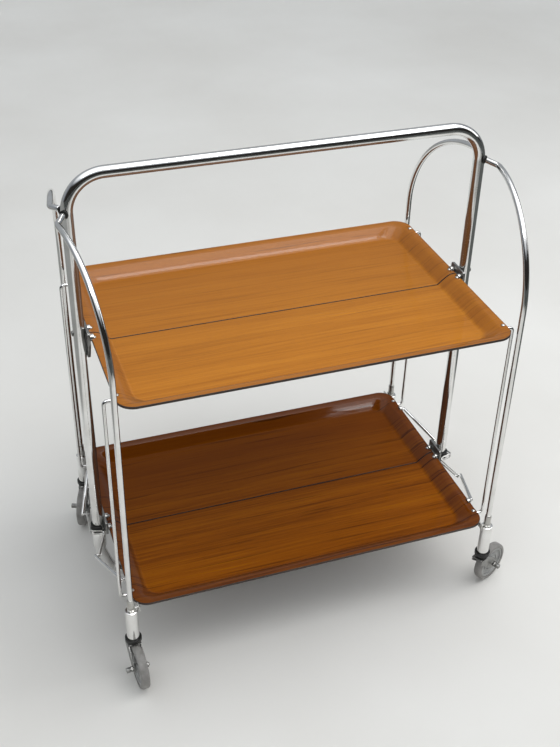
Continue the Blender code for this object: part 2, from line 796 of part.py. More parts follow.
def make_ferrule(name, side, end, pivot):
    bore = ROD_RADIUS + CONTACT_GAP + MERGE
    base = SLEEVE_TOP + CONTACT_GAP
    shoulder = base + FERRULE_BASE_HEIGHT
    profile = [
        (bore, FERRULE_TOP),
        (FERRULE_TOP_RADIUS, FERRULE_TOP),
        (FERRULE_BASE_RADIUS, shoulder),
        (FERRULE_BASE_RADIUS, base),
        (bore, base),
    ]
    ferrule = turned(name, profile, "steel", pivot, closed=True)
    ferrule.location = (0, 0, -FERRULE_PIN_Z)
    inside = LEG_X - (bore + FERRULE_BASE_RADIUS) / 2
    place = (end * LEG_Y, FERRULE_PIN_Z)
    tip = (side * FERRULE_PIN_TIP_X, *place)
    pin = cylinder_data("ferrule_pin", HINGE_PIN_RADIUS, tip, (side * inside, *place))
    boolean(ferrule, "UNION", [pin])


def make_tie_rod(name, side, end, upper_hinge):
    pivot = anchor("tie_" + name + "_pivot", (side * TIE_X, end * TIE_Y, UPPER_RIM - TIE_DROP), upper_hinge)
    low = LOWER_RIM - TIE_DROP
    high = UPPER_RIM - TIE_DROP
    corners = [(TIE_TIP_X, low), (TIE_X, low), (TIE_X, high), (TIE_TIP_X, high)]
    points = [Vector((side * x, end * TIE_Y, z)) for x, z in corners]
    path = rounded(points, [TIE_BEND, TIE_BEND], BEND_STEPS // 2 + 1)
    wire("tie_rod_" + name, path, TIE_RADIUS, WIRE_FACETS, "chrome", pivot)


# Slide clips, yokes and links

def clip_outline():
    """A C with its mouth towards -X."""
    inner = TUBE_RADIUS + RUNNING_GAP
    outer = inner + CLIP_WALL
    half = math.pi - CLIP_MOUTH / 2
    turns = [half * (2 * step / ROUND_STEPS - 1) for step in range(ROUND_STEPS + 1)]
    ring = [(outer * math.cos(a), outer * math.sin(a)) for a in turns]
    return ring + [(inner * math.cos(a), inner * math.sin(a)) for a in reversed(turns)]


def yoke_path(side):
    """A closed hairpin that starts and ends in an eye, seen from the side of the tube."""
    line = [
        (YOKE_X, -YOKE_Y, YOKE_Z),
        (YOKE_WRAP_X, -YOKE_WRAP_Y, YOKE_WRAP_Z),
        (YOKE_SIDE_X, -YOKE_WRAP_Y, YOKE_SIDE_Z),
        (YOKE_X, YOKE_Y, YOKE_Z),
    ]
    corners = [Vector((side * x, y, z)) for x, y, z in line]
    middle = rounded(corners, [YOKE_BEND, YOKE_BEND], YOKE_STEPS)
    lift = Vector((0, 0, YOKE_SPLIT))
    upper = [point + lift for point in middle]
    lower = [point - lift for point in reversed(middle)]
    far_eye = eye(corners[-1], corners[-2])
    near_eye = eye(corners[0], corners[1])[::-1]
    return upper + far_eye + lower + near_eye


def eye(centre, before):
    """The half turn at the end of the hairpin, from its upper to its lower wire."""
    outward = centre - before
    outward.z = 0
    outward.normalize()
    turns = [math.pi * step / EYE_STEPS for step in range(1, EYE_STEPS)]
    up = Vector((0, 0, 1))
    return [centre + YOKE_SPLIT * (up * math.cos(a) + outward * math.sin(a)) for a in turns]


def make_slide(side_name, side):
    slide = anchor("slide_" + side_name, (side * HANDLE_X, 0, CLIP_LOW))
    plate = outline_data("slide_clip_" + side_name, clip_outline(), CLIP_HEIGHT)
    clip = add_object("slide_clip_" + side_name, plate, "black", slide)
    clip.location = (0, 0, CLIP_HEIGHT / 2)
    clip.rotation_euler = (0, 0, 0 if side > 0 else math.pi)
    wire("yoke_" + side_name, yoke_path(side), YOKE_RADIUS, WIRE_FACETS, "steel", slide, closed=True)
    for end_name, end in ENDS.items():
        make_link(f"{end_name}_{side_name}", side, end, slide)


def make_link(name, side, end, slide):
    pivot = anchor("link_" + name + "_pivot", (side * YOKE_X, end * YOKE_Y, YOKE_Z), slide)
    ear_z = LOWER_RIM - LINK_EAR_DROP
    start = Vector((side * LINK_X, end * YOKE_Y, YOKE_Z))
    finish = Vector((side * LINK_END_X, end * LINK_EAR_Y, ear_z))
    link = as_mesh(wire("link_" + name, [start, finish], LINK_RADIUS, WIRE_FACETS, "chrome", pivot))
    eye_tip = YOKE_X - YOKE_RADIUS - EYE_PIN_REACH
    ear_face = EAR_OUTER_X + RUNNING_GAP
    inset = (finish - start).normalized() * LINK_RADIUS
    near = start + inset
    far = finish - inset
    eye_end = (side * eye_tip, start.y, start.z)
    pins = [
        cylinder_data("eye_pin", EYE_PIN_RADIUS, eye_end, (near.x, start.y, start.z)),
        cylinder_data("ear_pin", LINK_PIN_RADIUS, (side * ear_face, far.y, far.z), far),
    ]
    boolean(link, "UNION", pins)


# Casters, built round their own swivel axis with the trail along local +X

def across_turn():
    """The turn that lays a shape turned about Z along the axle, local Y."""
    return Matrix.Rotation(-math.pi / 2, 4, "X")


def caster_mesh(data, carrier, name, finish, place=(0, 0, 0)):
    piece = add_object(name, data, finish, carrier)
    piece.location = place
    return piece


def wheel_cutter(width):
    """The round space in which the wheel turns, in caster coordinates."""
    radius = WHEEL_RADIUS + WHEEL_CLEARANCE
    start = (TRAIL, -width / 2, WHEEL_RADIUS)
    end = (TRAIL, width / 2, WHEEL_RADIUS)
    return cylinder_data("wheel_space", radius, start, end, 2 * WHEEL_STEPS)


def caster_boolean(piece, operation, operands, carrier):
    boolean(piece, operation, operands)
    group = piece.modifiers[-1].collection
    for helper in group.objects:
        helper.parent = carrier


def make_head(name, carrier):
    recess = SLEEVE_RADIUS + RUNNING_GAP
    profile = [
        (0, STEM_TOP),
        (STEM_RADIUS, STEM_TOP),
        (STEM_RADIUS, HEAD_FLOOR),
        (recess, HEAD_FLOOR),
        (recess, HEAD_TOP),
        (HEAD_RADIUS, HEAD_TOP),
        (HEAD_RADIUS, HEAD_FLOOR),
        (HEAD_FOOT_RADIUS, HEAD_LOW),
        (0, HEAD_LOW),
    ]
    head = turned("caster_head_" + name, profile, "black", carrier)
    caster_boolean(head, "DIFFERENCE", [wheel_cutter(2 * HEAD_RADIUS + CUT_OVERRUN)], carrier)


def fork_side_outline():
    """A fork cheek in (trail, height): a narrow waist that widens to the axle eye."""
    eye_points = []
    for step in range(EYE_FACETS + 1):
        angle = FORK_EYE_START - FORK_EYE_TURN * step / EYE_FACETS
        x = TRAIL + FORK_EYE_RADIUS * math.cos(angle)
        eye_points.append((x, WHEEL_RADIUS + FORK_EYE_RADIUS * math.sin(angle)))
    top_back = (-FORK_BACK, FORK_BRIDGE_TOP)
    low_back = (-FORK_BACK, FORK_BRIDGE_TOP - FORK_WAIST)
    top_front = (FORK_WAIST, FORK_BRIDGE_TOP)
    return [top_front, *eye_points, low_back, top_back]


def make_fork(name, carrier):
    hole = circle(AXLE_RADIUS + CONTACT_GAP, (TRAIL, WHEEL_RADIUS))
    curve = outline_data("fork_" + name, fork_side_outline(), FORK_THICKNESS, [hole])
    cheek = add_object("fork_" + name, curve, "steel")
    cheek.rotation_euler = (math.pi / 2, 0, 0)
    cheek.location = (0, (FORK_INNER + FORK_OUTER) / 2, 0)
    fork = as_mesh(cheek)
    fork.parent = carrier
    fork.matrix_parent_inverse = Matrix()
    second = fork.data.copy()
    second.transform(Matrix.Translation((0, 0, FORK_INNER + FORK_OUTER)))
    second.transform(fork.matrix_basis)
    low = (-FORK_BACK, -FORK_OUTER + MERGE, FORK_BRIDGE_LOW)
    high = (FORK_FRONT, FORK_OUTER - MERGE, FORK_BRIDGE_TOP - MERGE)
    bridge = box_data("fork_bridge", low, high)
    caster_boolean(fork, "UNION", [second, bridge], carrier)
    caster_boolean(fork, "DIFFERENCE", [wheel_cutter(2 * FORK_INNER)], carrier)


def make_axle(name, carrier):
    """A bolt with a hexagon nut on each side and a square end on one."""
    centre = Vector((TRAIL, 0, WHEEL_RADIUS))
    nut_start = FORK_OUTER + CONTACT_GAP
    nut_end = nut_start + NUT_THICKNESS
    tip = nut_end + SQUARE_END_LENGTH

    def at(out):
        return centre - Vector((0, out, 0))

    data = cylinder_data("axle_" + name, AXLE_RADIUS, at(-nut_end), at(nut_end))
    axle = caster_mesh(data, carrier, "axle_" + name, "steel")
    big = NUT_FLATS / 2 / math.cos(math.pi / 6)
    small = SMALL_NUT_FLATS / 2 / math.cos(math.pi / 6)
    corner = Vector((SQUARE_END_SIDE / 2, 0, SQUARE_END_SIDE / 2))
    operands = [
        cylinder_data("nut", big, at(nut_start), at(nut_end), 6),
        cylinder_data("small_nut", small, at(-nut_start), at(-nut_end + AXLE_RADIUS / 4), 6),
        box_data("square_end", at(nut_end - MERGE) - corner, at(tip) + corner),
    ]
    caster_boolean(axle, "UNION", operands, carrier)


def make_wheel(name, carrier, hub):
    half = WHEEL_WIDTH / 2
    disc_radius = WHEEL_RADIUS - TYRE_DEPTH
    bore = AXLE_RADIUS + CONTACT_GAP
    upper = [
        (bore, half),
        (HUB_RADIUS, half),
        (HUB_RADIUS, WEB_HALF),
        (disc_radius - RIM_DEPTH, WEB_HALF),
        (disc_radius - RIM_DEPTH, RIM_HALF),
        (disc_radius, RIM_HALF),
    ]
    profile = upper + [(radius, -height) for radius, height in reversed(upper)]
    disc = turned("wheel_disc_" + name, profile, "grey_plastic", hub, WHEEL_STEPS, closed=True)
    disc.rotation_euler = (-math.pi / 2, 0, 0)
    tyre_bore = (disc_radius + CONTACT_GAP) / math.cos(math.pi / WHEEL_STEPS)
    outer = [
        (tyre_bore, half - CONTACT_GAP),
        (WHEEL_RADIUS - TYRE_SHOULDER, half - CONTACT_GAP),
        (WHEEL_RADIUS, half - TYRE_SHOULDER),
    ]
    profile = outer + [(radius, -height) for radius, height in reversed(outer)]
    tyre = turned("tyre_" + name, profile, "tyre", hub, WHEEL_STEPS, closed=True)
    tyre.rotation_euler = (-math.pi / 2, 0, 0)


def make_caster(name, side, end, slide):
    turn = CASTER_TURNS[name]
    carrier = anchor("caster_" + name, (side * LEG_X, end * LEG_Y, 0), slide, turn)
    make_head(name, carrier)
    make_fork(name, carrier)
    make_axle(name, carrier)
    hub = bpy.data.objects.new("hub_" + name, None)
    PARTS.objects.link(hub)
    hub.parent = carrier
    hub.location = (TRAIL, 0, WHEEL_RADIUS)
    make_wheel(name, carrier, hub)


def main():
    make_frame()
    make_brackets()
    data = tray_data()
    lower_hinges = {}
    upper_hinges = {}
    for end_name, end in ENDS.items():
        upper_hinges[end] = make_tray_half("upper", UPPER_RIM, end_name, end, data, False)
        lower_hinges[end] = make_tray_half("lower", LOWER_RIM, end_name, end, data, True)
    for end_name, end in ENDS.items():
        for side_name, side in SIDES.items():
            name = f"{end_name}_{side_name}"
            make_grommet("arch_grommet_" + name, side, end)
            make_tie_rod(name, side, end, upper_hinges[end])
            slide = make_leg(name, side, end, lower_hinges[end])
            make_caster(name, side, end, slide)
    for side_name, side in SIDES.items():
        make_slide(side_name, side)


main()
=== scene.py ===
"""The looks of a folding serving trolley: chromed tubes, teak trays that split along the middle, and
grey wheels on four casters. Sizes are metres. Places count from the middle of the trolley's frame and
are written for its rear right corner, with X along the push bar and the front at -Y."""

import math

import bmesh
import bpy
from mathutils import Matrix, Vector


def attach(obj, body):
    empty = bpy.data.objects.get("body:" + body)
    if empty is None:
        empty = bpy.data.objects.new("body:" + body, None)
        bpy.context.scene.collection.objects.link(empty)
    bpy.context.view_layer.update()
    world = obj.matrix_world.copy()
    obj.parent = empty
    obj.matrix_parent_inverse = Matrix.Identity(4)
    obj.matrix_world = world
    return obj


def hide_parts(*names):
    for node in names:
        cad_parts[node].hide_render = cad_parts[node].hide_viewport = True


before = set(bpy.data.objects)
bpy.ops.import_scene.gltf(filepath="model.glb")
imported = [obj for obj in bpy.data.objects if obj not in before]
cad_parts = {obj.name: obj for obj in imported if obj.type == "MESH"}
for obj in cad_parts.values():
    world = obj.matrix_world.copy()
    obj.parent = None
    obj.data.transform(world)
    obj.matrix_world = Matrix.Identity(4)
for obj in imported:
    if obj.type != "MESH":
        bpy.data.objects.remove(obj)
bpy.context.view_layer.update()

# From the origin to the middle of the frame
SHIFT = Vector((-0.0131, 0.0131, 0))

SIDES = {"left": -1, "right": 1}
ENDS = {"front": -1, "rear": 1}
CORNERS = [(end, side) for end in ENDS for side in SIDES]

# Trays
TRAY_HALF = 0.300
TRAY_BACK = 0.201
TRAY_SHEET = 0.004
SEAM = 0.0006
RIMS = {"upper": 0.515, "lower": 0.143}
CORNER_RADIUS = 0.026
CORNER_TIGHTENING = 0.005
CORNER_STEPS = 12
LIP_WIDTH = 0.033
LIP_SINK = 0.017
EDGE_ROUNDING = 0.0007
EDGE_ANGLE = math.radians(55)

# The lip's curve from the rim to the dish, as shares of its width and of its sink
LIP_SHARES = [(0, 0), (0.06, 0.004), (0.16, 0.02), (0.25, 0.05), (0.33, 0.09), (0.39, 0.14), (0.44, 0.20)]
LIP_SHARES += [(0.50, 0.28), (0.57, 0.385), (0.64, 0.49), (0.70, 0.58), (0.76, 0.68), (0.81, 0.77)]
LIP_SHARES += [(0.86, 0.87), (0.90, 0.935), (0.94, 0.975), (0.97, 0.995), (1, 1)]

# Places that several parts share
HANDLE_X = TRAY_HALF + 0.015
HANDLE_TOP = RIMS["upper"] + 0.250
JOINT_Z = RIMS["lower"] - 0.030
LEG_X = TRAY_HALF + 0.005
LEG_Y = TRAY_BACK - 0.003
TIE_Y = TRAY_BACK - 0.037
HINGE_Y = 0.013
LINK_EAR_Y = TRAY_BACK - 0.061

# Ears, lugs and rivets under the ends of the trays
EAR_RADIUS = 0.0055
EAR_REACH = (TRAY_HALF - 0.004, TRAY_HALF + 0.0014)
EAR_DROP = 0.0005
EAR_ROUNDING = 0.0004
LINK_EAR_DROP = 0.0015
LUG_ROUNDING = 0.0006
TIE_LUG_X = (TRAY_HALF - 0.0065, TRAY_HALF - 0.004)
TIE_LUG_Y = (TIE_Y - 0.005, TIE_Y + 0.005)
TIE_LUG_DROP = (0.0145, 0.003)
CORNER_LUG_X = (TRAY_HALF - 0.0085, TRAY_HALF - 0.006)
CORNER_LUG_Y = (LEG_Y - 0.014, LEG_Y + 0.0052)
CORNER_LUG_DROP = (0.0105, 0.001)
TRAY_RIVET_RADIUS = 0.0033
TRAY_RIVET_HEIGHT = 0.0024
TRAY_RIVET_X = TRAY_HALF - 0.0045
TRAY_RIVET_SINK = 0.0008
TRAY_RIVET_ROWS = (0.0135, TRAY_BACK - 0.035)

# Handle tube, foot tube and the collars over their joints
TUBE_RADIUS = 0.009
TUBE_SIDES = 40
TUBE_TURN = 3
HANDLE_BEND = 0.055
JOINT_GAP = 0.0003
KNEE_Z = 0.086
KNEE_BEND = 0.060
BAR_X = HANDLE_X - 0.019
BAR_Z = 0.024
BAR_BEND = 0.045
COLLAR_BORE = 0.0093
COLLAR_RADIUS = 0.0112
COLLAR_LOW = JOINT_Z - 0.0175
COLLAR_TOP = JOINT_Z + 0.017
COLLAR_ROUNDING = 0.0007

# Hinge plates: rise, drop and half width of the foot, then the rise and the outer end of the rivet
PLATES = {
    "upper": (0.010, 0.040, 0.006, 0.003, HANDLE_X + 0.010),
    "lower": (0.014, 0.0122, 0.016, 0.007, HANDLE_X - 0.003),
}
PLATE_X = TRAY_HALF + 0.00375
PLATE_THICKNESS = 0.0039
PLATE_HALF_WIDTH = 0.021
PLATE_SHOULDER = 0.0095
PLATE_CORNER = 0.004
PLATE_ROUNDING = 0.0005
HINGE_PIN_RADIUS = 0.002
HINGE_PIN_REACH = (TRAY_HALF + 0.0004, TRAY_HALF + 0.003)
PIN_ROUNDING = 0.0003
RIVET_RADIUS = 0.0024
RIVET_START = TRAY_HALF + 0.003
RIVET_HEAD_X = HANDLE_X + TUBE_RADIUS
RIVET_HEAD_RADIUS = 0.0045
RIVET_HEAD_HEIGHT = 0.0022

# Arched legs, with the bushes and sleeves at their two ends
ROD_RADIUS = 0.0045
ROD_SIDES = 28
ROD_TURN = 3
ROD_ROUNDING = 0.0008
STUB_RUN = (0.0183, 0.029)
STUB_BEND = 0.012
ARCH_TOP = HANDLE_TOP - 0.055
ARCH_RADIUS = LEG_Y - STUB_RUN[1] - 0.010
PIVOT_X = HANDLE_X + 0.00726
PIVOT_Y = 0.0115
PIVOT_Z = ARCH_TOP + 0.003
LEG_FOOT = RIMS["lower"] - 0.032

# Turned shapes as radii and distances along the axis: along the stub for the bush, else heights
BUSH_PROFILE = [(0, 0.0132), (0.0018, 0.0129), (0.0034, 0.0121), (0.0052, 0.0115), (0.0062, 0.0109)]
BUSH_PROFILE += [(0.0065, 0.0103), (0.0065, 0.0093), (0, 0.0093)]
BUSH_STEPS = 32
SLEEVE_PROFILE = [(0.0048, 0.112), (0.0048, 0.135), (0.0088, 0.135), (0.0097, 0.1344), (0.0100, 0.1330)]
SLEEVE_PROFILE += [(0.0100, 0.0712), (0.0094, 0.0703), (0.0044, 0.0703)]
FERRULE_PROFILE = [(0.0048, 0.157), (0.0052, 0.157), (0.0054, 0.1566), (0.0057, 0.1412), (0.0060, 0.1408)]
FERRULE_PROFILE += [(0.0061, 0.1401), (0.0061, 0.1362), (0.0059, 0.1353), (0.0048, 0.1353)]
FERRULE_STEPS = 40
FERRULE_PIN_RADIUS = 0.002
FERRULE_PIN_REACH = (TRAY_HALF - 0.009, TRAY_HALF - 0.0005)
FERRULE_PIN_Z = RIMS["lower"] - 0.0055
FERRULE_PIN_ROUNDING = 0.0004

# Fold rods between the two trays
TIE_RADIUS = 0.00275
TIE_SIDES = 20
TIE_TURN = 9
TIE_ROUNDING = 0.0006
TIE_X = TRAY_HALF + 0.014
TIE_TIP_X = TRAY_HALF - 0.0085
TIE_DROP = 0.009
TIE_BEND = 0.006

# Clips that slide on the tube
CLIP_BORE = 0.0094
CLIP_RADIUS = 0.0124
CLIP_HEIGHT = 0.010
CLIP_LOW = COLLAR_TOP + 0.0035
CLIP_HALF_TURN = math.radians(115)
CLIP_STEPS = 32
CLIP_ROUNDING = 0.0006

# Double wires that the clips carry, and the side links from their ends
WIRE_RADIUS = 0.0013
WIRE_SIDES = 16
WIRE_TURN = 10
WIRE_BEND = 0.005
WIRE_END = (HANDLE_X + 0.0102, 0.052, CLIP_LOW - 0.0115)
WIRE_INNER = (HANDLE_X - 0.0085, -0.0147, CLIP_LOW + 0.0005)
WIRE_OUTER = (HANDLE_X + 0.015, -0.0147, CLIP_LOW + 0.0055)
WIRE_LIFT = 0.003
EYE_BEND = 0.00299
EYE_TURN = 15
LINK_RADIUS = 0.0029
LINK_SIDES = 24
LINK_ROUNDING = 0.0009
LINK_START = (HANDLE_X + 0.0172, *WIRE_END[1:])
LINK_END = (TRAY_HALF + 0.005, LINK_EAR_Y, RIMS["lower"] - 0.001)
EYE_PIN_RADIUS = 0.0012
EYE_PIN_START = WIRE_END[0] - 0.0038
EYE_PIN_SIDES = 16
LINK_PIN_RADIUS = 0.0022
LINK_PIN_START = TRAY_HALF + 0.0018
LINK_PIN_SIDES = 20

# Casters: where their trails point, in degrees from +X
CASTER_TURNS = {"front_left": -86, "front_right": 24.9, "rear_left": -111.2, "rear_right": 30}
WHEEL_RADIUS = 0.035
TRAIL = 0.027
CUP_PROFILE = [(0, 0.098), (0.004, 0.098), (0.004, 0.070), (0.0104, 0.070), (0.0104, 0.0763)]
CUP_PROFILE += [(0.0107, 0.0766), (0.0126, 0.0766), (0.0130, 0.0762), (0.0130, 0.0708), (0.0122, 0.0692)]
CUP_PROFILE += [(0.0085, 0.0662), (0.0075, 0.0646), (0, 0.0646)]

# Forks: corners of a cheek from the side, each with the rounding that it gets
CHEEK_CORNERS = [(0.0080, 0.0643), (0.0338, 0.0420), (0.0338, 0.0282), (0.0202, 0.0282)]
CHEEK_CORNERS += [(-0.0125, 0.0563), (-0.0125, 0.0643)]
CHEEK_ROUNDS = [0.003, 0.0064, 0.0064, 0.0064, 0.002, 0.0]
CHEEK_MIDDLE = 0.0097
CHEEK_THICKNESS = 0.0018
CHEEK_ROUNDING = 0.0004
BRIDGE_LOW = (-0.0125, -0.0106, 0.0626)
BRIDGE_HIGH = (0.0045, 0.0106, 0.0643)
BRIDGE_ROUNDING = 0.0005

# Wheel bolts: distances from the middle of the wheel, towards the square end
BOLT_RADIUS = 0.0025
BOLT_START = -0.0152
SMALL_NUT_RADIUS = 0.0043
SMALL_NUT_END = -0.0139
NUT_RADIUS = 0.0046
NUT_START = 0.0109
NUT_END = 0.0145
NUT_SIDES = 6
SQUARE_HALF = 0.0031
SQUARE_TIP = 0.0220
SQUARE_ROUNDING = 0.0005

# Halves of the wheels' profiles: radii, and distances from the middle of the wheel
CENTRE_HALF = [(0.0028, 0.0072), (0.0062, 0.0072), (0.0070, 0.0066), (0.0074, 0.0034), (0.0096, 0.0030)]
CENTRE_HALF += [(0.0142, 0.0030), (0.0148, 0.0044), (0.0172, 0.0044), (0.0178, 0.0030), (0.0228, 0.0030)]
CENTRE_HALF += [(0.0240, 0.0036), (0.0246, 0.0056), (0.0282, 0.0058)]
CENTRE_STEPS = 64
TYRE_HALF = [(0.0285, 0.0068), (0.0300, 0.0069), (0.0325, 0.0068), (0.0338, 0.0062), (0.0346, 0.0051)]
TYRE_HALF += [(0.0350, 0.0030)]
TYRE_STEPS = 72

# Wood grain: how each pattern is stretched, some with their own detail and roughness
GRAIN_WANDER = (2.2, 8, 0)
GRAIN_BANDS = ((1.3, 30, 0), 4.0, 0.6)
GRAIN_FINE = ((5, 230, 0), 6.0, 0.72)
GRAIN_STREAKS = ((3.4, 190, 0), 4.0, 0.6)
GRAIN_PORES = (95, 1500, 0)
GRAIN_SHOVE = (0, 0.016, 0)
BAND_SHARE = 0.45
STREAK_RANGE = (0.56, 0.67)
PORE_RANGE = (0.60, 0.72)

# Teak: heights above the dish where the lip starts, and places where painted shade darkens the rear
LIP_RANGE = (0.0005, 0.005)
REAR_SHADE_RANGE = (-0.05, 0.13)
LIP_CONTRAST = 2.0
LIP_STREAKS = 2.8
# How far painted shade darkens the lip's slope
LIP_PAINTED_SHADE = 0.7
LIP_COAT = 0.36
COAT_ROUGHNESS = 0.09
TONE_STOPS = (0.32, 0.50, 0.68)
STREAK_LIGHT = 0.45
PORE_SHOWING = 0.35
# Share of painted shade on the teak that mirrors see
MIRROR_DARKENING = 0.8
TEAK_ROUGHNESS = (0.3, 0.7, 0.38, 0.24)
PORE_RELIEF = 0.5
GRAIN_DEPTH = 0.00008

# Marks of handling on metal and plastic
CLOUD_SCALE = 28.0
CLOUD_STOPS = [(0.35, 0.0), (0.75, 1.0)]
CLOUD_RANGE = (0.3, 0.75)
SCRATCH_STRETCH = (900, 900, 70)
SCRATCH_DEPTH = 0.00002
PIT_SCALE = 260.0
PIT_RANGE = (0.05, 0.16, 1.0, 0.0)
PIT_PATCH_SCALE = 19.0
PIT_PATCH_RANGE = (0.56, 0.68)
PIT_TONE = (0.05, 0.04, 0.03, 1)

# Colours of the surroundings, first as the eye and then as the chrome and the lacquer see them
SKY = (0.68, 0.71, 0.74, 1)
FLOOR_TONES = [(0.72, 0.70, 0.66), (0.80, 0.785, 0.75)]
MIRRORED_SKY = (1.35, 1.38, 1.42, 1)
MIRRORED_HAZE = (0.27, 0.29, 0.32, 1)
MIRRORED_WALL = (0.36, 0.38, 0.40, 1)
MIRRORED_GAP = (11.0, 11.0, 11.0, 1)
MIRRORED_DARK = (0.020, 0.018, 0.016, 1)
MIRRORED_FLOOR = (0.035, 0.040, 0.036, 1)
# The teak as mirrors see it: painted shade on its reflections in the chrome
MIRRORED_TEAK = (0.045, 0.020, 0.012, 1)
FLOOR_REACH = 14
FLOOR_CLOUD_SCALE = 1.4

# Where the floor goes dark in mirrors: places, and the share that it gets at the sides
DARK_NEAR = (-1.1, -1.8)
DARK_RIGHT = (0.62, 0.80, 0.0, 0.95)
DARK_LEFT = (-0.78, -0.90, 0.0, 0.6)

# Ways in the world that mirrors see, as the Y or Z of a direction
SKY_HEIGHT = (0.55, 0.86)
GAP_NEAR = (-0.48, -0.45)
GAP_FAR = (-0.35, -0.38)
GAP_HEIGHT = (0.72, 0.76)
WALL_BEHIND = (0.45, 0.75)
BAND_HEIGHT = (0.58, 0.46)
BAND_NEAR = (0.25, -0.15)

# Lights: place, size and power
LIGHTS = {
    "top_softbox": ((0.75, -0.35, 2.6), (2.0, 2.0), 28),
    "side_softbox": ((2.3, -0.3, 1.7), (1.2, 1.6), 10),
}
LIGHT_AIM = Vector((0, 0, 0.3))

# Camera, solved from the photograph
CAMERA_PLACE = Vector((-0.4989, -1.3635, 1.3819))
CAMERA_WAY = Vector((0.2828, 0.7727, -0.5684))
CAMERA_ROLL = math.radians(1.378)
CAMERA_LENS = 70.1
CAMERA_SENSOR = 36

# Shape making
SHARP_ANGLE = math.radians(32)
TURN_STEPS = 48
CORNER_SEGMENTS = 6
WELD = 1e-6


# Making shapes

def finish_shape(shape, name, materials, body, nodes=(), turn=None):
    """The shape as a piece of the trolley, in its place and riding on its body."""
    if turn is not None:
        bmesh.ops.transform(shape, matrix=turn, verts=shape.verts)
    bmesh.ops.translate(shape, verts=shape.verts, vec=SHIFT)
    data = bpy.data.meshes.new(name)
    shape.to_mesh(data)
    shape.free()
    for face in data.polygons:
        face.use_smooth = True
    data.set_sharp_from_angle(angle=SHARP_ANGLE)
    for material in materials:
        data.materials.append(material)
    piece = bpy.data.objects.new(name, data)
    bpy.context.scene.collection.objects.link(piece)
    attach(piece, body)
    if nodes:
        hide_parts(*nodes)
    return piece


def verts_of(geometry):
    return [item for item in geometry if isinstance(item, bmesh.types.BMVert)]


def edges_of(geometry):
    return [item for item in geometry if isinstance(item, bmesh.types.BMEdge)]


def soften(shape, width, segments=2, angle=40):
    """Round every edge of the shape that is sharper than the angle, in degrees."""
    limit = math.radians(angle)
    edges = [edge for edge in shape.edges if edge.is_manifold and edge.calc_face_angle(0) > limit]
    bmesh.ops.bevel(
        shape,
        geom=edges,
        offset=width,
        offset_type="OFFSET",
        segments=segments,
        profile=0.5,
        affect="EDGES",
        clamp_overlap=True,
        material=-1,
    )


def join_shape(shape, other):
    """Add another shape's faces to this one, and let go of the other."""
    data = bpy.data.meshes.new("joined")
    other.to_mesh(data)
    other.free()
    shape.from_mesh(data)
    bpy.data.meshes.remove(data)


def run_on(shape, loop, way):
    """Carry an open loop of edges straight on."""
    grown = bmesh.ops.extrude_edge_only(shape, edges=loop)
    bmesh.ops.translate(shape, verts=verts_of(grown["geom"]), vec=way)
    return [edge for edge in edges_of(grown["geom"]) if edge.is_boundary]


def bent_bar(corners, bends, radius, sides, turn_step=6, rounding=0.0):
    """A round bar along straight runs, spun through an arc at each inner corner."""
    corners = [Vector(corner) for corner in corners]
    shape = bmesh.new()
    heading = (corners[1] - corners[0]).normalized()
    turn = heading.to_track_quat("Z", "Y").to_matrix().to_4x4()
    place = Matrix.Translation(corners[0]) @ turn
    bmesh.ops.create_circle(shape, cap_ends=False, segments=sides, radius=radius, matrix=place)
    loop = list(shape.edges)
    here = corners[0]
    for corner, after, bend in zip(corners[1:-1], corners[2:], bends):
        next_heading = (after - corner).normalized()
        angle = heading.angle(next_heading)
        reach = bend * math.tan(angle / 2)
        loop = run_on(shape, loop, corner - heading * reach - here)
        axis = heading.cross(next_heading).normalized()
        grown = bmesh.ops.spin(
            shape,
            geom=loop,
            cent=corner - heading * reach + axis.cross(heading) * bend,
            axis=axis,
            dvec=(0, 0, 0),
            angle=angle,
            steps=max(2, math.ceil(math.degrees(angle) / turn_step)),
            use_merge=False,
            use_duplicate=False,
        )
        loop = edges_of(grown["geom_last"])
        here = corner + next_heading * reach
        heading = next_heading
    run_on(shape, loop, corners[-1] - here)
    bmesh.ops.holes_fill(shape, edges=[edge for edge in shape.edges if edge.is_boundary], sides=0)
    bmesh.ops.recalc_face_normals(shape, faces=shape.faces)
    if rounding:
        soften(shape, rounding, 3, 60)
    return shape


def turned(profile, steps=TURN_STEPS, closed=False, rounding=0.0):
    """A shape spun about Z from (radius, height) pairs down its outer side."""
    shape = bmesh.new()
    verts = [shape.verts.new((radius, 0, height)) for radius, height in profile]
    for first, second in zip(verts, verts[1:]):
        shape.edges.new((first, second))
    if closed:
        shape.edges.new((verts[-1], verts[0]))
    bmesh.ops.spin(
        shape,
        geom=list(shape.verts) + list(shape.edges),
        cent=(0, 0, 0),
        axis=(0, 0, 1),
        dvec=(0, 0, 0),
        angle=2 * math.pi,
        steps=steps,
        use_merge=True,
        use_duplicate=False,
    )
    bmesh.ops.remove_doubles(shape, verts=shape.verts, dist=WELD)
    bmesh.ops.recalc_face_normals(shape, faces=shape.faces)
    if rounding:
        soften(shape, rounding)
    return shape


def turned_evenly(half, steps):
    """A wheel's shape from the half of its profile on one side of its middle."""
    return turned(half + [(radius, -height) for radius, height in reversed(half)], steps, True)


def plate(outline, thickness, corner_rounds, rounding):
    """A flat plate in XY, lying evenly about Z = 0, with a rounding for each corner of its outline."""
    shape = bmesh.new()
    verts = [shape.verts.new((x, y, -thickness / 2)) for x, y in outline]
    shape.faces.new(verts)
    for vert, radius in zip(verts, corner_rounds):
        if radius:
            round_corner(shape, vert, radius)
    grown = bmesh.ops.extrude_face_region(shape, geom=list(shape.faces))
    bmesh.ops.translate(shape, verts=verts_of(grown["geom"]), vec=(0, 0, thickness))
    bmesh.ops.recalc_face_normals(shape, faces=shape.faces)
    soften(shape, rounding, 2, 60)
    return shape


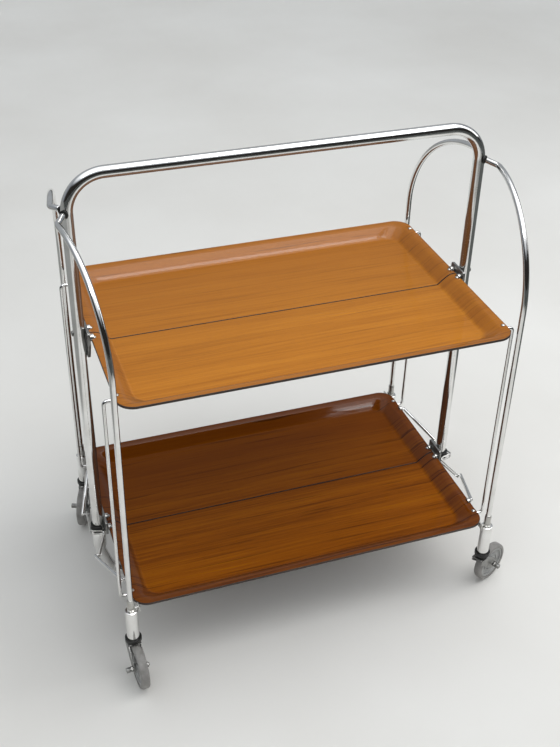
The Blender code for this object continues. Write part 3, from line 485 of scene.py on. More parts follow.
def round_corner(shape, vert, radius):
    """Round one corner of a flat outline. A sharp corner is cut back a little less."""
    first, second = [edge.other_vert(vert).co - vert.co for edge in vert.link_edges]
    half = first.angle(second) / 2
    reach = radius / math.tan(half)
    if half < math.pi / 4:
        reach *= math.sin(half)
    bmesh.ops.bevel(
        shape,
        geom=[vert],
        offset=reach,
        offset_type="OFFSET",
        segments=CORNER_SEGMENTS,
        profile=0.5,
        affect="VERTICES",
        material=-1,
    )


def stub(radius, start, end, sides=24, rounding=0.0):
    """A short round pin, or a hexagon nut, between two places."""
    shape = bmesh.new()
    start, end = Vector(start), Vector(end)
    run = end - start
    turn = run.to_track_quat("Z", "Y").to_matrix().to_4x4()
    bmesh.ops.create_cone(
        shape,
        cap_ends=True,
        segments=sides,
        radius1=radius,
        radius2=radius,
        depth=run.length,
        matrix=Matrix.Translation((start + end) / 2) @ turn,
    )
    if rounding:
        soften(shape, rounding, 2, 50)
    return shape


def cross_pin(radius, side, reach, y, z, **options):
    """A pin along X on one side, between two distances from the middle."""
    start, end = reach
    return stub(radius, (side * start, y, z), (side * end, y, z), **options)


def block(low, high, rounding):
    """A box between two opposite corners, with rounded edges."""
    shape = bmesh.new()
    low, high = Vector(low), Vector(high)
    size = high - low
    spread = Matrix.Diagonal((abs(size.x), abs(size.y), abs(size.z), 1))
    bmesh.ops.create_cube(shape, size=1, matrix=Matrix.Translation((low + high) / 2) @ spread)
    soften(shape, rounding, 2, 50)
    return shape


def dome(radius, height, centre, out):
    """A flattened round rivet head that looks along the given way."""
    shape = bmesh.new()
    turn = Vector(out).to_track_quat("Z", "Y").to_matrix().to_4x4()
    spread = Matrix.Diagonal((radius, radius, height, 1))
    place = Matrix.Translation(Vector(centre)) @ turn @ spread
    bmesh.ops.create_uvsphere(shape, u_segments=24, v_segments=12, radius=1, matrix=place)
    return shape


# Making materials

def node(tree, kind, links=(), **settings):
    """One node with its settings and the sockets that feed it."""
    made = tree.nodes.new(kind)
    for label, value in settings.items():
        setattr(made, label, value)
    for socket, source in links:
        target = made.inputs[socket]
        if isinstance(source, bpy.types.NodeSocket):
            tree.links.new(source, target)
        else:
            target.default_value = source
    return made


def ramp(tree, source, stops):
    """A colour or a grey for each value, from (value, tone) pairs."""
    made = node(tree, "ShaderNodeValToRGB", [(0, source)])
    points = made.color_ramp.elements
    while len(points) < len(stops):
        points.new(0.5)
    for point, (place, tone) in zip(points, stops):
        point.position = place
        point.color = (*tone, 1) if isinstance(tone, tuple) else (tone, tone, tone, 1)
    return made.outputs["Color"]


def maths(tree, kind, first, second=0.0, third=0.0):
    return node(tree, "ShaderNodeMath", [(0, first), (1, second), (2, third)], operation=kind).outputs[0]


def times(tree, first, second):
    return maths(tree, "MULTIPLY", first, second)


def ranged(tree, value, start, end, low=0.0, high=1.0, kind="LINEAR"):
    """The value's way from start to end, as a way from low to high that stops at both."""
    links = [("Value", value), ("From Min", start), ("From Max", end), ("To Min", low), ("To Max", high)]
    return node(tree, "ShaderNodeMapRange", links, interpolation_type=kind).outputs[0]


def mixed(tree, factor, first, second):
    """Two colours, mixed by the factor."""
    made = node(tree, "ShaderNodeMix", data_type="RGBA")
    for socket, source in ((0, factor), (6, first), (7, second)):
        if isinstance(source, bpy.types.NodeSocket):
            tree.links.new(source, made.inputs[socket])
        else:
            made.inputs[socket].default_value = source
    return made.outputs[2]


def noise(tree, place, scale=1.0, detail=2.0, roughness=0.5):
    links = [("Vector", place), ("Scale", scale), ("Detail", detail), ("Roughness", roughness)]
    return node(tree, "ShaderNodeTexNoise", links)


def stretch(tree, vector, scale):
    return node(tree, "ShaderNodeVectorMath", [(0, vector), (1, scale)], operation="MULTIPLY").outputs[0]


def stretched_noise(tree, place, scale, detail=2.0, roughness=0.5):
    return noise(tree, stretch(tree, place, scale), detail=detail, roughness=roughness)


def object_place(tree):
    return node(tree, "ShaderNodeTexCoord").outputs["Object"]


def seen_in_mirrors(tree):
    return node(tree, "ShaderNodeLightPath").outputs["Is Glossy Ray"]


# Effects that several finishes share

def new_group(name, inputs, outputs):
    group = bpy.data.node_groups.new(name, "ShaderNodeTree")
    for label, kind in inputs:
        group.interface.new_socket(name=label, in_out="INPUT", socket_type=kind)
    for label in outputs:
        group.interface.new_socket(name=label, in_out="OUTPUT", socket_type="NodeSocketFloat")
    return group, group.nodes.new("NodeGroupInput"), group.nodes.new("NodeGroupOutput")


def wood_grain_group():
    """Fine straight grain along X with slow bands, dark streaks and short open pores."""
    inputs = [("Vector", "NodeSocketVector"), ("Streaks", "NodeSocketFloat")]
    group, given, result = new_group("wood grain", inputs, ["Tone", "Streak", "Pores"])
    place = given.outputs["Vector"]
    wander = stretched_noise(group, place, GRAIN_WANDER)
    shove = stretch(group, wander.outputs["Color"], GRAIN_SHOVE)
    moved = node(group, "ShaderNodeVectorMath", [(0, place), (1, shove)], operation="ADD").outputs[0]
    bands = stretched_noise(group, moved, *GRAIN_BANDS)
    fine = stretched_noise(group, moved, *GRAIN_FINE)
    streaks = stretched_noise(group, moved, *GRAIN_STREAKS)
    pores = stretched_noise(group, moved, GRAIN_PORES)
    rest = times(group, fine.outputs[0], 1 - BAND_SHARE)
    tone = maths(group, "MULTIPLY_ADD", bands.outputs[0], BAND_SHARE, rest)
    streak = ranged(group, streaks.outputs[0], *STREAK_RANGE, kind="SMOOTHSTEP")
    pore = ranged(group, pores.outputs[0], *PORE_RANGE, kind="SMOOTHSTEP")
    group.links.new(tone, result.inputs["Tone"])
    group.links.new(times(group, streak, given.outputs["Streaks"]), result.inputs["Streak"])
    group.links.new(pore, result.inputs["Pores"])
    return group


def handling_group():
    """Cloudy marks of handling, fine wiping scratches and small pits."""
    inputs = [("Vector", "NodeSocketVector"), ("Size", "NodeSocketFloat")]
    group, given, result = new_group("handling", inputs, ["Clouds", "Scratches", "Pits"])
    links = [(0, given.outputs["Vector"]), ("Scale", given.outputs["Size"])]
    place = node(group, "ShaderNodeVectorMath", links, operation="SCALE").outputs[0]
    clouds = noise(group, place, scale=CLOUD_SCALE, detail=5.0, roughness=0.6)
    scratches = stretched_noise(group, place, SCRATCH_STRETCH)
    pits = node(group, "ShaderNodeTexVoronoi", [("Vector", place), ("Scale", PIT_SCALE)])
    pit = ranged(group, pits.outputs["Distance"], *PIT_RANGE)
    rare = ranged(group, noise(group, place, scale=PIT_PATCH_SCALE).outputs[0], *PIT_PATCH_RANGE)
    group.links.new(clouds.outputs[0], result.inputs["Clouds"])
    group.links.new(scratches.outputs[0], result.inputs["Scratches"])
    group.links.new(times(group, pit, rare), result.inputs["Pits"])
    return group


WOOD_GRAIN = wood_grain_group()
HANDLING = handling_group()


# Finishes

def new_finish(name, metallic, **constants):
    material = bpy.data.materials.new(name)
    material.use_nodes = True
    tree = material.node_tree
    shader = tree.nodes["Principled BSDF"]
    shader.inputs["Metallic"].default_value = metallic
    for label, value in constants.items():
        shader.inputs[label.replace("_", " ")].default_value = value
    return material, tree, shader


def bumped(tree, shader, height, distance):
    bump = node(tree, "ShaderNodeBump", [("Height", height), ("Distance", distance), ("Strength", 1.0)])
    tree.links.new(bump.outputs["Normal"], shader.inputs["Normal"])


def handled_finish(name, metallic, clean, dull, roughness, grime, size=1.0, **constants):
    """A finish that varies between a clean and a dulled colour, with fine scratches."""
    material, tree, shader = new_finish(name, metallic, **constants)
    marks = node(tree, "ShaderNodeGroup", node_tree=HANDLING)
    tree.links.new(object_place(tree), marks.inputs["Vector"])
    marks.inputs["Size"].default_value = size
    dulled = ramp(tree, marks.outputs["Clouds"], CLOUD_STOPS)
    colour = mixed(tree, dulled, (*clean, 1), (*dull, 1))
    colour = mixed(tree, times(tree, marks.outputs["Pits"], grime), colour, PIT_TONE)
    tree.links.new(colour, shader.inputs["Base Color"])
    rough = ranged(tree, marks.outputs["Clouds"], *CLOUD_RANGE, *roughness)
    tree.links.new(rough, shader.inputs["Roughness"])
    bumped(tree, shader, marks.outputs["Scratches"], SCRATCH_DEPTH)
    return material


def teak_finish(name, level, tones, streaks, rear_painted_shade, coat, specular, offset):
    """Lacquered teak grain along the tray, glossier on the lips, with painted shade at the rear and on the
    lips, and painted shade on the teak that mirrors see.
    """
    light, middle, dark = tones
    streak_tone = tuple(value * STREAK_LIGHT for value in dark)
    material, tree, shader = new_finish(name, 0, Coat_Roughness=COAT_ROUGHNESS, Specular_IOR_Level=specular)
    place = object_place(tree)
    apart = node(tree, "ShaderNodeSeparateXYZ", [(0, place)])
    dish = RIMS[level] - LIP_SINK
    lip = ranged(tree, apart.outputs["Z"], *(dish + height for height in LIP_RANGE))
    rear = ranged(tree, apart.outputs["Y"], *(SHIFT.y + y for y in REAR_SHADE_RANGE))
    grain = node(tree, "ShaderNodeGroup", node_tree=WOOD_GRAIN)
    moved = node(tree, "ShaderNodeMapping", [("Vector", place), ("Location", offset)])
    tree.links.new(moved.outputs[0], grain.inputs["Vector"])
    grain.inputs["Streaks"].default_value = streaks
    contrast = ranged(tree, lip, 0.0, 1.0, 1.0, LIP_CONTRAST)
    swing = maths(tree, "SUBTRACT", grain.outputs["Tone"], 0.5)
    tone = maths(tree, "MULTIPLY_ADD", swing, contrast, 0.5)
    colour = ramp(tree, tone, list(zip(TONE_STOPS, (dark, middle, light))))
    # Painted shade: the rear of each half is mixed towards the dark tone.
    colour = mixed(tree, times(tree, rear, rear_painted_shade), colour, (*dark, 1))
    # Painted shade: the lip's slope is mixed towards the dark tone.
    colour = mixed(tree, times(tree, lip, LIP_PAINTED_SHADE), colour, (*dark, 1))
    streak = times(tree, grain.outputs["Streak"], ranged(tree, lip, 0.0, 1.0, 1.0, LIP_STREAKS))
    colour = mixed(tree, streak, colour, (*streak_tone, 1))
    colour = mixed(tree, times(tree, grain.outputs["Pores"], PORE_SHOWING), colour, (*streak_tone, 1))
    # Painted reflection shade: mirrors see the teak as dark brown, so the chrome shows a shaded tray.
    colour = mixed(tree, times(tree, seen_in_mirrors(tree), MIRROR_DARKENING), colour, MIRRORED_TEAK)
    tree.links.new(colour, shader.inputs["Base Color"])
    tree.links.new(ranged(tree, lip, 0.0, 1.0, coat, LIP_COAT), shader.inputs["Coat Weight"])
    tree.links.new(ranged(tree, grain.outputs["Tone"], *TEAK_ROUGHNESS), shader.inputs["Roughness"])
    sunk = times(tree, grain.outputs["Pores"], PORE_RELIEF)
    bumped(tree, shader, maths(tree, "SUBTRACT", grain.outputs["Tone"], sunk), GRAIN_DEPTH)
    return material


CHROME = handled_finish(
    "chrome", 1, clean=(0.86, 0.86, 0.85), dull=(0.72, 0.71, 0.69), roughness=(0.05, 0.16), grime=0.7
)
STEEL = handled_finish(
    "plated steel", 1, clean=(0.62, 0.62, 0.60), dull=(0.42, 0.40, 0.37), roughness=(0.24, 0.42), grime=0.8,
    size=2.5,
)
DULL_STEEL = handled_finish(
    "grey pressed steel", 1, clean=(0.34, 0.34, 0.33), dull=(0.20, 0.195, 0.185), roughness=(0.34, 0.5),
    grime=0.8, size=2.5,
)
BLACK = handled_finish(
    "black plastic", 0, clean=(0.012, 0.012, 0.012), dull=(0.026, 0.025, 0.023), roughness=(0.32, 0.5),
    grime=0.3, size=3, Specular_IOR_Level=0.28,
)
GREY_PLASTIC = handled_finish(
    "grey plastic", 0, clean=(0.36, 0.36, 0.35), dull=(0.25, 0.245, 0.235), roughness=(0.35, 0.55), grime=0.5,
    size=3,
)
TYRE_RUBBER = handled_finish(
    "grey tyre", 0, clean=(0.27, 0.26, 0.245), dull=(0.17, 0.16, 0.15), roughness=(0.5, 0.75), grime=0.6,
    size=3,
)
EDGE = handled_finish(
    "dark tray edge", 0, clean=(0.022, 0.012, 0.008), dull=(0.045, 0.024, 0.015), roughness=(0.4, 0.6),
    grime=0.3, size=2,
)
UNDERSIDE = handled_finish(
    "tray underside", 0, clean=(0.085, 0.040, 0.018), dull=(0.05, 0.026, 0.013), roughness=(0.4, 0.6),
    grime=0.2,
)
TEAKS = {
    "upper": teak_finish(
        "honey teak",
        "upper",
        tones=((0.56, 0.212, 0.016), (0.46, 0.160, 0.009), (0.33, 0.105, 0.004)),
        streaks=0.30,
        rear_painted_shade=0.55,
        coat=0.20,
        specular=0.16,
        offset=(0.0, 0.0, 0.0),
    ),
    "lower": teak_finish(
        "brown teak with painted shade",
        "lower",
        # The lower tray's darker tones are painted shade from the upper tray above it.
        tones=((0.40, 0.124, 0.003), (0.275, 0.073, 0.0015), (0.132, 0.030, 0.001)),
        streaks=0.60,
        rear_painted_shade=0.75,
        coat=0.05,
        specular=0.04,
        offset=(3.1, 1.7, 0.0),
    ),
}


# Trays

def tray_ring(shape, inset, corner, sink):
    """The outline of a tray's rear half, rounded at its two outer corners."""
    half = TRAY_HALF - inset
    back = TRAY_BACK - inset
    corners = [(-half, SEAM), (half, SEAM), (half, back), (-half, back)]
    verts = [shape.verts.new((x, y, -sink)) for x, y in corners]
    shape.faces.new(verts)
    bmesh.ops.bevel(
        shape,
        geom=verts[2:],
        offset=corner,
        offset_type="OFFSET",
        segments=CORNER_STEPS,
        profile=0.5,
        affect="VERTICES",
        material=-1,
    )


def tray_skin():
    """The top face of a rear half: one ring for each step of the lip, and the dish inside the last."""
    shape = bmesh.new()
    loops = []
    for width, sink in LIP_SHARES:
        known = set(shape.edges)
        tray_ring(shape, LIP_WIDTH * width, CORNER_RADIUS - CORNER_TIGHTENING * width, LIP_SINK * sink)
        loops.append([edge for edge in shape.edges if edge not in known])
    dish = set(loops[-1][0].link_faces)
    bmesh.ops.delete(shape, geom=[face for face in shape.faces if face not in dish], context="FACES_ONLY")
    for outer, inner in zip(loops, loops[1:]):
        bmesh.ops.bridge_loops(shape, edges=outer + inner)
    wall = [face for face in shape.faces if all(abs(vert.co.y - SEAM) < WELD for vert in face.verts)]
    bmesh.ops.delete(shape, geom=wall, context="FACES_ONLY")
    bmesh.ops.delete(shape, geom=[edge for edge in shape.edges if not edge.link_faces], context="EDGES")
    bmesh.ops.recalc_face_normals(shape, faces=shape.faces)
    if sum(face.normal.z for face in shape.faces) < 0:
        bmesh.ops.reverse_faces(shape, faces=shape.faces)
    return shape


def make_tray(level, end_name):
    """A tray half: its top face, given the thickness of the sheet and a dark rounded edge."""
    turn = Matrix.Translation((0, 0, RIMS[level]))
    if end_name == "front":
        turn = turn @ Matrix.Rotation(math.pi, 4, "Z")
    tray = finish_shape(
        tray_skin(),
        f"{level}_{end_name}_half_tray",
        [TEAKS[level], EDGE, UNDERSIDE],
        f"{level}_{end_name}_half",
        [f"tray_{level}_{end_name}"],
        turn=turn,
    )
    shell = tray.modifiers.new("sheet", "SOLIDIFY")
    shell.thickness = TRAY_SHEET
    shell.offset = -1
    shell.use_even_offset = True
    shell.material_offset = 2
    shell.material_offset_rim = 1
    edge = tray.modifiers.new("edge", "BEVEL")
    edge.width = EDGE_ROUNDING
    edge.segments = 2
    edge.limit_method = "ANGLE"
    edge.material = 1
    edge.angle_limit = EDGE_ANGLE
    edge.harden_normals = True


def lug(side, end, rim, across, along, drop):
    """A flat steel lug that hangs under a tray's end lip."""
    low = (side * across[0], end * along[0], rim - drop[0])
    high = (side * across[1], end * along[1], rim - drop[1])
    return block(low, high, LUG_ROUNDING)


def make_fittings(level, end_name):
    """The steel ears, lugs and rivets that hold a tray half to the hinges and rods."""
    end = ENDS[end_name]
    rim = RIMS[level]
    shape = bmesh.new()
    for side in SIDES.values():
        ear = cross_pin(EAR_RADIUS, side, EAR_REACH, end * HINGE_Y, rim - EAR_DROP, rounding=EAR_ROUNDING)
        join_shape(shape, ear)
        join_shape(shape, lug(side, end, rim, TIE_LUG_X, TIE_LUG_Y, TIE_LUG_DROP))
        for y in TRAY_RIVET_ROWS:
            centre = (side * TRAY_RIVET_X, end * y, rim - TRAY_RIVET_SINK)
            join_shape(shape, dome(TRAY_RIVET_RADIUS, TRAY_RIVET_HEIGHT, centre, (0, 0, 1)))
        if level == "lower":
            height = rim - LINK_EAR_DROP
            ear = cross_pin(EAR_RADIUS, side, EAR_REACH, end * LINK_EAR_Y, height, rounding=EAR_ROUNDING)
            join_shape(shape, ear)
            join_shape(shape, lug(side, end, rim, CORNER_LUG_X, CORNER_LUG_Y, CORNER_LUG_DROP))
    finish_shape(shape, f"{level}_{end_name}_tray_fittings", [STEEL], f"{level}_{end_name}_half")


# Frame

def make_tubes():
    low = JOINT_Z + JOINT_GAP
    path = [(-HANDLE_X, 0, low), (-HANDLE_X, 0, HANDLE_TOP), (HANDLE_X, 0, HANDLE_TOP), (HANDLE_X, 0, low)]
    shape = bent_bar(path, [HANDLE_BEND, HANDLE_BEND], TUBE_RADIUS, TUBE_SIDES, TUBE_TURN)
    finish_shape(shape, "push_bar_tube", [CHROME], "frame", ["handle_tube"])
    right = [(BAR_X, 0, BAR_Z), (HANDLE_X, 0, KNEE_Z), (HANDLE_X, 0, JOINT_Z)]
    path = [(-x, y, z) for x, y, z in reversed(right)] + right
    shape = bent_bar(path, [KNEE_BEND, BAR_BEND, BAR_BEND, KNEE_BEND], TUBE_RADIUS, TUBE_SIDES, TUBE_TURN)
    finish_shape(shape, "foot_tube", [CHROME], "frame", ["lower_frame_tube"])


def make_collar(side_name):
    profile = [(COLLAR_BORE, COLLAR_TOP), (COLLAR_RADIUS, COLLAR_TOP)]
    profile += [(COLLAR_RADIUS, COLLAR_LOW), (COLLAR_BORE, COLLAR_LOW)]
    shape = turned(profile, closed=True, rounding=COLLAR_ROUNDING)
    place = Matrix.Translation((SIDES[side_name] * HANDLE_X, 0, 0))
    nodes = [f"joint_collar_{side_name}"]
    finish_shape(shape, f"tube_collar_{side_name}", [CHROME], "frame", nodes, turn=place)


def make_bush(end_name, side_name):
    """The black bush between the tube and the end of an arched leg."""
    run_x, run_y = STUB_RUN
    way = Vector((SIDES[side_name] * run_x, ENDS[end_name] * run_y, 0)).normalized()
    place = Matrix.Translation((SIDES[side_name] * HANDLE_X, 0, PIVOT_Z))
    turn = place @ way.to_track_quat("Z", "Y").to_matrix().to_4x4()
    name = f"{end_name}_{side_name}"
    shape = turned(BUSH_PROFILE, BUSH_STEPS)
    finish_shape(shape, f"leg_bush_{name}", [BLACK], "frame", [f"arch_grommet_{name}"], turn=turn)


def make_hinge_plate(level, side_name):
    """A plate on the tube's inner side that the ends of one tray's halves hang on."""
    side = SIDES[side_name]
    rim = RIMS[level]
    rise, drop, toe, rivet_rise, rivet_end = PLATES[level]
    outline = [(-PLATE_HALF_WIDTH, -PLATE_SHOULDER), (-toe, -drop), (toe, -drop)]
    outline += [(PLATE_HALF_WIDTH, -PLATE_SHOULDER), (PLATE_HALF_WIDTH, rise), (-PLATE_HALF_WIDTH, rise)]
    shape = plate(outline, PLATE_THICKNESS, [PLATE_CORNER] * len(outline), PLATE_ROUNDING)
    upright = Matrix.Rotation(math.pi / 2, 4, "Z") @ Matrix.Rotation(math.pi / 2, 4, "X")
    place = Matrix.Translation((side * PLATE_X, 0, rim)) @ upright
    bmesh.ops.transform(shape, matrix=place, verts=shape.verts)
    for end in ENDS.values():
        pin = cross_pin(HINGE_PIN_RADIUS, side, HINGE_PIN_REACH, end * HINGE_Y, rim, rounding=PIN_ROUNDING)
        join_shape(shape, pin)
    height = rim + rivet_rise
    join_shape(shape, cross_pin(RIVET_RADIUS, side, (RIVET_START, rivet_end), 0, height))
    if level == "upper":
        centre = (side * RIVET_HEAD_X, 0, height)
        join_shape(shape, dome(RIVET_HEAD_RADIUS, RIVET_HEAD_HEIGHT, centre, (side, 0, 0)))
    nodes = [f"hinge_bracket_{level}_{side_name}"]
    finish_shape(shape, f"{level}_hinge_plate_{side_name}", [DULL_STEEL], "frame", nodes)


# Legs, rods and links

def at_corner(end_name, side_name, places):
    """Places of the rear right corner, moved to another corner."""
    return [Vector((SIDES[side_name] * x, ENDS[end_name] * y, z)) for x, y, z in places]


def make_leg(end_name, side_name):
    """An arched rod with the sleeve on its foot."""
    name = f"{end_name}_{side_name}"
    leg = f"leg_{name}"
    arch_start = (HANDLE_X + STUB_RUN[0], STUB_RUN[1], ARCH_TOP)
    path = [(PIVOT_X, PIVOT_Y, PIVOT_Z), arch_start, (LEG_X, LEG_Y, ARCH_TOP), (LEG_X, LEG_Y, LEG_FOOT)]
    path = at_corner(end_name, side_name, path)
    shape = bent_bar(path, [STUB_BEND, ARCH_RADIUS], ROD_RADIUS, ROD_SIDES, ROD_TURN, ROD_ROUNDING)
    finish_shape(shape, f"arched_rod_{name}", [CHROME], leg, [f"leg_rod_{name}"])
    place = Matrix.Translation(*at_corner(end_name, side_name, [(LEG_X, LEG_Y, 0)]))
    shape = turned(SLEEVE_PROFILE, closed=True)
    finish_shape(shape, f"foot_sleeve_{name}", [CHROME], leg, [f"leg_sleeve_{name}"], turn=place)


def make_ferrule(end_name, side_name):
    """The collar that slides on a leg, with its pin towards the lower tray."""
    name = f"{end_name}_{side_name}"
    place = Matrix.Translation(*at_corner(end_name, side_name, [(LEG_X, LEG_Y, 0)]))
    shape = turned(FERRULE_PROFILE, FERRULE_STEPS, True)
    bmesh.ops.transform(shape, matrix=place, verts=shape.verts)
    side = SIDES[side_name]
    y = ENDS[end_name] * LEG_Y
    reach = FERRULE_PIN_REACH
    pin = cross_pin(FERRULE_PIN_RADIUS, side, reach, y, FERRULE_PIN_Z, rounding=FERRULE_PIN_ROUNDING)
    join_shape(shape, pin)
    nodes = [f"ferrule_{name}"]
    finish_shape(shape, f"sliding_ferrule_{name}", [STEEL], f"ferrule_{name}_collar", nodes)


def make_fold_rod(end_name, side_name):
    """A thin rod hooked into the upper and the lower tray."""
    name = f"{end_name}_{side_name}"
    low = RIMS["lower"] - TIE_DROP
    high = RIMS["upper"] - TIE_DROP
    path = [(TIE_TIP_X, TIE_Y, low), (TIE_X, TIE_Y, low), (TIE_X, TIE_Y, high), (TIE_TIP_X, TIE_Y, high)]
    path = at_corner(end_name, side_name, path)
    shape = bent_bar(path, [TIE_BEND, TIE_BEND], TIE_RADIUS, TIE_SIDES, TIE_TURN, TIE_ROUNDING)
    finish_shape(shape, f"fold_rod_{name}", [CHROME], f"tie_{name}", [f"tie_rod_{name}"])


def make_clip(side_name):
    """The C-shaped clip round the tube, open towards the middle of the trolley."""
    side = SIDES[side_name]
    shape = bmesh.new()
    section = [(CLIP_BORE, 0, 0), (CLIP_RADIUS, 0, 0)]
    section += [(CLIP_RADIUS, 0, CLIP_HEIGHT), (CLIP_BORE, 0, CLIP_HEIGHT)]
    shape.faces.new([shape.verts.new(place) for place in section])
    start = Matrix.Rotation(-CLIP_HALF_TURN, 3, "Z")
    bmesh.ops.rotate(shape, verts=shape.verts, cent=(0, 0, 0), matrix=start)
    bmesh.ops.spin(
        shape,
        geom=list(shape.faces),
        cent=(0, 0, 0),
        axis=(0, 0, 1),
        dvec=(0, 0, 0),
        angle=2 * CLIP_HALF_TURN,
        steps=CLIP_STEPS,
        use_merge=False,
        use_duplicate=False,
    )
    bmesh.ops.recalc_face_normals(shape, faces=shape.faces)
    soften(shape, CLIP_ROUNDING, 2, 60)
    turn = Matrix.Translation((side * HANDLE_X, 0, CLIP_LOW))
    if side_name == "left":
        turn = turn @ Matrix.Rotation(math.pi, 4, "Z")
    body = f"slide_{side_name}"
    nodes = [f"slide_clip_{side_name}"]
    finish_shape(shape, f"tube_clip_{side_name}", [BLACK], body, nodes, turn=turn)


def make_double_wire(side_name):
    """Two wires bent round the clip from front to rear, with an eye at each end."""
    x, y, z = WIRE_END
    line = [Vector(place) for place in ((x, -y, z), WIRE_INNER, WIRE_OUTER, (x, y, z))]
    for place in line:
        place.x *= SIDES[side_name]
    lift = Vector((0, 0, WIRE_LIFT))
    shape = bmesh.new()
    for raised in (lift, -lift):
        path = [place + raised for place in line]
        join_shape(shape, bent_bar(path, [WIRE_BEND, WIRE_BEND], WIRE_RADIUS, WIRE_SIDES, WIRE_TURN))
    for centre, before in ((line[0], line[1]), (line[3], line[2])):
        out = centre - before
        out.z = 0
        out = out.normalized() * WIRE_LIFT
        loop = [centre + lift, centre + lift + out, centre - lift + out, centre - lift]
        join_shape(shape, bent_bar(loop, [EYE_BEND, EYE_BEND], WIRE_RADIUS, WIRE_SIDES, EYE_TURN))
    body = f"slide_{side_name}"
    finish_shape(shape, f"double_wire_{side_name}", [STEEL], body, [f"yoke_{side_name}"])


def make_side_link(end_name, side_name):
    """The rod from an eye of the double wire to the lower tray, with a pin at each end."""
    name = f"{end_name}_{side_name}"
    side = SIDES[side_name]
    start, end = at_corner(end_name, side_name, [LINK_START, LINK_END])
    shape = bent_bar([start, end], [], LINK_RADIUS, LINK_SIDES, rounding=LINK_ROUNDING)
    way = (end - start).normalized() * LINK_RADIUS
    near, far = start + way, end - way
    eye_pin = (side * EYE_PIN_START, start.y, start.z)
    join_shape(shape, stub(EYE_PIN_RADIUS, eye_pin, (near.x, start.y, start.z), EYE_PIN_SIDES))
    join_shape(shape, stub(LINK_PIN_RADIUS, (side * LINK_PIN_START, far.y, far.z), far, LINK_PIN_SIDES))
    finish_shape(shape, f"side_link_{name}", [CHROME], f"link_{name}_rod", [f"link_{name}"])


# Casters, made with the trail along +X and then turned

def caster_place(name):
    end_name, side_name = name.split("_")
    place = Matrix.Translation(*at_corner(end_name, side_name, [(LEG_X, LEG_Y, 0)]))
    return place @ Matrix.Rotation(math.radians(CASTER_TURNS[name]), 4, "Z")


def fork_cheek(across):
    shape = plate(CHEEK_CORNERS, CHEEK_THICKNESS, CHEEK_ROUNDS, CHEEK_ROUNDING)
    turn = Matrix.Translation((0, across, 0)) @ Matrix.Rotation(math.pi / 2, 4, "X")
    bmesh.ops.transform(shape, matrix=turn, verts=shape.verts)
    return shape


def wheel_bolt():
    """A bolt through the wheel with a nut on each side and a square end on one."""

    def at(out):
        return Vector((TRAIL, -out, WHEEL_RADIUS))

    shape = stub(BOLT_RADIUS, at(BOLT_START), at(NUT_END))
    join_shape(shape, stub(NUT_RADIUS, at(NUT_START), at(NUT_END), NUT_SIDES, PIN_ROUNDING))
    join_shape(shape, stub(SMALL_NUT_RADIUS, at(-NUT_START), at(SMALL_NUT_END), NUT_SIDES, PIN_ROUNDING))
    corner = Vector((SQUARE_HALF, 0, SQUARE_HALF))
    join_shape(shape, block(at(NUT_END) - corner, at(SQUARE_TIP) + corner, SQUARE_ROUNDING))
    return shape


def make_caster(name):
    body = f"caster_{name}"
    wheel = f"wheel_{name}"
    turn = caster_place(name)
    cup = turned(CUP_PROFILE)
    finish_shape(cup, f"swivel_cup_{name}", [BLACK], body, [f"caster_head_{name}"], turn=turn)
    fork = fork_cheek(CHEEK_MIDDLE)
    join_shape(fork, fork_cheek(-CHEEK_MIDDLE))
    join_shape(fork, block(BRIDGE_LOW, BRIDGE_HIGH, BRIDGE_ROUNDING))
    finish_shape(fork, f"wheel_fork_{name}", [DULL_STEEL], body, [f"fork_{name}"], turn=turn)
    finish_shape(wheel_bolt(), f"wheel_bolt_{name}", [DULL_STEEL], body, [f"axle_{name}"], turn=turn)
    lay = turn @ Matrix.Translation((TRAIL, 0, WHEEL_RADIUS)) @ Matrix.Rotation(-math.pi / 2, 4, "X")
    centre = turned_evenly(CENTRE_HALF, CENTRE_STEPS)
    nodes = [f"wheel_disc_{name}"]
    finish_shape(centre, f"wheel_centre_{name}", [GREY_PLASTIC], wheel, nodes, turn=lay)
    tyre = turned_evenly(TYRE_HALF, TYRE_STEPS)
    finish_shape(tyre, f"wheel_tyre_{name}", [TYRE_RUBBER], wheel, [f"tyre_{name}"], turn=lay)


# Studio

def make_floor():
    """A pale floor that only mirrors see darker, towards the viewer and at both sides."""
    shape = bmesh.new()
    bmesh.ops.create_grid(shape, x_segments=1, y_segments=1, size=FLOOR_REACH)
    data = bpy.data.meshes.new("studio_floor")
    shape.to_mesh(data)
    shape.free()
    floor = bpy.data.objects.new("studio_floor", data)
    bpy.context.scene.collection.objects.link(floor)
    material, tree, shader = new_finish("studio floor", 0, Roughness=0.9)
    place = object_place(tree)
    apart = node(tree, "ShaderNodeSeparateXYZ", [(0, place)])
    near = ranged(tree, apart.outputs["Y"], *DARK_NEAR)
    right = ranged(tree, apart.outputs["X"], *DARK_RIGHT)
    left = ranged(tree, apart.outputs["X"], *DARK_LEFT)
    dark = maths(tree, "MAXIMUM", maths(tree, "MAXIMUM", near, right), left)
    clouds = noise(tree, place, scale=FLOOR_CLOUD_SCALE, detail=4.0)
    pale = ramp(tree, clouds.outputs[0], [(0.3, FLOOR_TONES[0]), (0.7, FLOOR_TONES[1])])
    colour = mixed(tree, times(tree, dark, seen_in_mirrors(tree)), pale, MIRRORED_FLOOR)
    tree.links.new(colour, shader.inputs["Base Color"])
    data.materials.append(material)


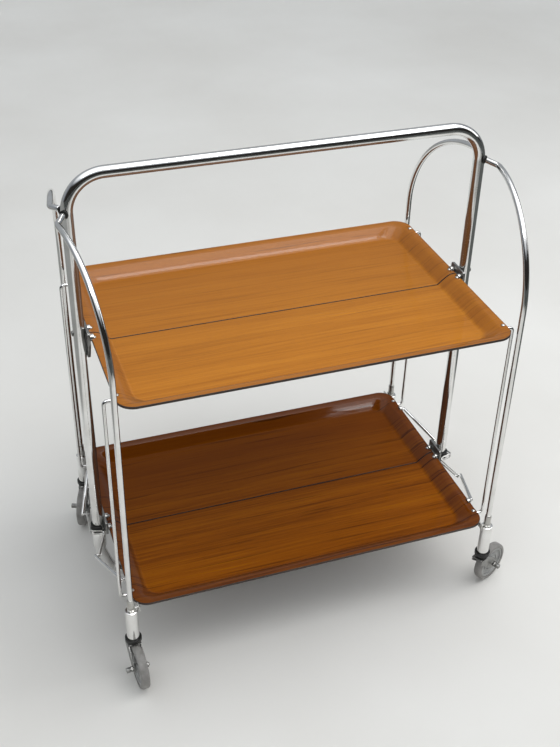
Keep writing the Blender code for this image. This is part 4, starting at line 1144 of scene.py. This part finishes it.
def make_world():
    """A bright sky for light. Mirrors see haze below it, a wall behind, a dark band on the viewer's
    side and one narrow bright gap overhead."""
    world = bpy.data.worlds.new("studio")
    bpy.context.scene.world = world
    world.use_nodes = True
    tree = world.node_tree
    tree.nodes.clear()
    way = node(tree, "ShaderNodeTexCoord").outputs["Generated"]
    apart = node(tree, "ShaderNodeSeparateXYZ", [(0, way)])
    y, z = apart.outputs["Y"], apart.outputs["Z"]
    mirrored = seen_in_mirrors(tree)
    gap = times(tree, ranged(tree, y, *GAP_NEAR), ranged(tree, y, *GAP_FAR))
    gap = times(tree, gap, ranged(tree, z, *GAP_HEIGHT))
    dark = times(tree, ranged(tree, z, *BAND_HEIGHT), ranged(tree, y, *BAND_NEAR))
    above = mixed(tree, ranged(tree, z, *SKY_HEIGHT), MIRRORED_HAZE, MIRRORED_SKY)
    above = mixed(tree, gap, above, MIRRORED_GAP)
    colour = mixed(tree, mirrored, SKY, above)
    colour = mixed(tree, times(tree, ranged(tree, y, *WALL_BEHIND), mirrored), colour, MIRRORED_WALL)
    colour = mixed(tree, times(tree, dark, mirrored), colour, MIRRORED_DARK)
    back = node(tree, "ShaderNodeBackground", [("Color", colour), ("Strength", 1.0)])
    out = node(tree, "ShaderNodeOutputWorld")
    tree.links.new(back.outputs[0], out.inputs[0])


def make_light(name):
    place, size, power = LIGHTS[name]
    lamp = bpy.data.lights.new(name, "AREA")
    lamp.shape = "RECTANGLE"
    lamp.size, lamp.size_y = size
    lamp.energy = power
    thing = bpy.data.objects.new(name, lamp)
    bpy.context.scene.collection.objects.link(thing)
    thing.location = place
    thing.rotation_euler = (LIGHT_AIM - Vector(place)).to_track_quat("-Z", "Y").to_euler()


def make_camera():
    data = bpy.data.cameras.new("camera")
    camera = bpy.data.objects.new("camera", data)
    bpy.context.scene.collection.objects.link(camera)
    data.sensor_fit = "HORIZONTAL"
    data.sensor_width = CAMERA_SENSOR
    data.lens = CAMERA_LENS
    forward = CAMERA_WAY.normalized()
    right = forward.cross(Vector((0, 0, 1))).normalized()
    up = right.cross(forward)
    image_right = right * math.cos(CAMERA_ROLL) + up * math.sin(CAMERA_ROLL)
    image_up = up * math.cos(CAMERA_ROLL) - right * math.sin(CAMERA_ROLL)
    pose = Matrix((image_right, image_up, -forward)).transposed().to_4x4()
    pose.translation = CAMERA_PLACE + SHIFT
    camera.matrix_world = pose
    bpy.context.scene.camera = camera


bpy.context.scene.view_settings.view_transform = "Standard"
make_camera()
make_world()
make_floor()
for light_name in LIGHTS:
    make_light(light_name)
for level_name in RIMS:
    for half_name in ENDS:
        make_tray(level_name, half_name)
        make_fittings(level_name, half_name)
make_tubes()
for part_side in SIDES:
    make_collar(part_side)
for part_end, part_side in CORNERS:
    make_bush(part_end, part_side)
for part_side in SIDES:
    for level_name in RIMS:
        make_hinge_plate(level_name, part_side)
for part_end, part_side in CORNERS:
    make_leg(part_end, part_side)
    make_ferrule(part_end, part_side)
    make_fold_rod(part_end, part_side)
for part_side in SIDES:
    make_clip(part_side)
    make_double_wire(part_side)
    for part_end in ENDS:
        make_side_link(part_end, part_side)
for corner_name in CASTER_TURNS:
    make_caster(corner_name)
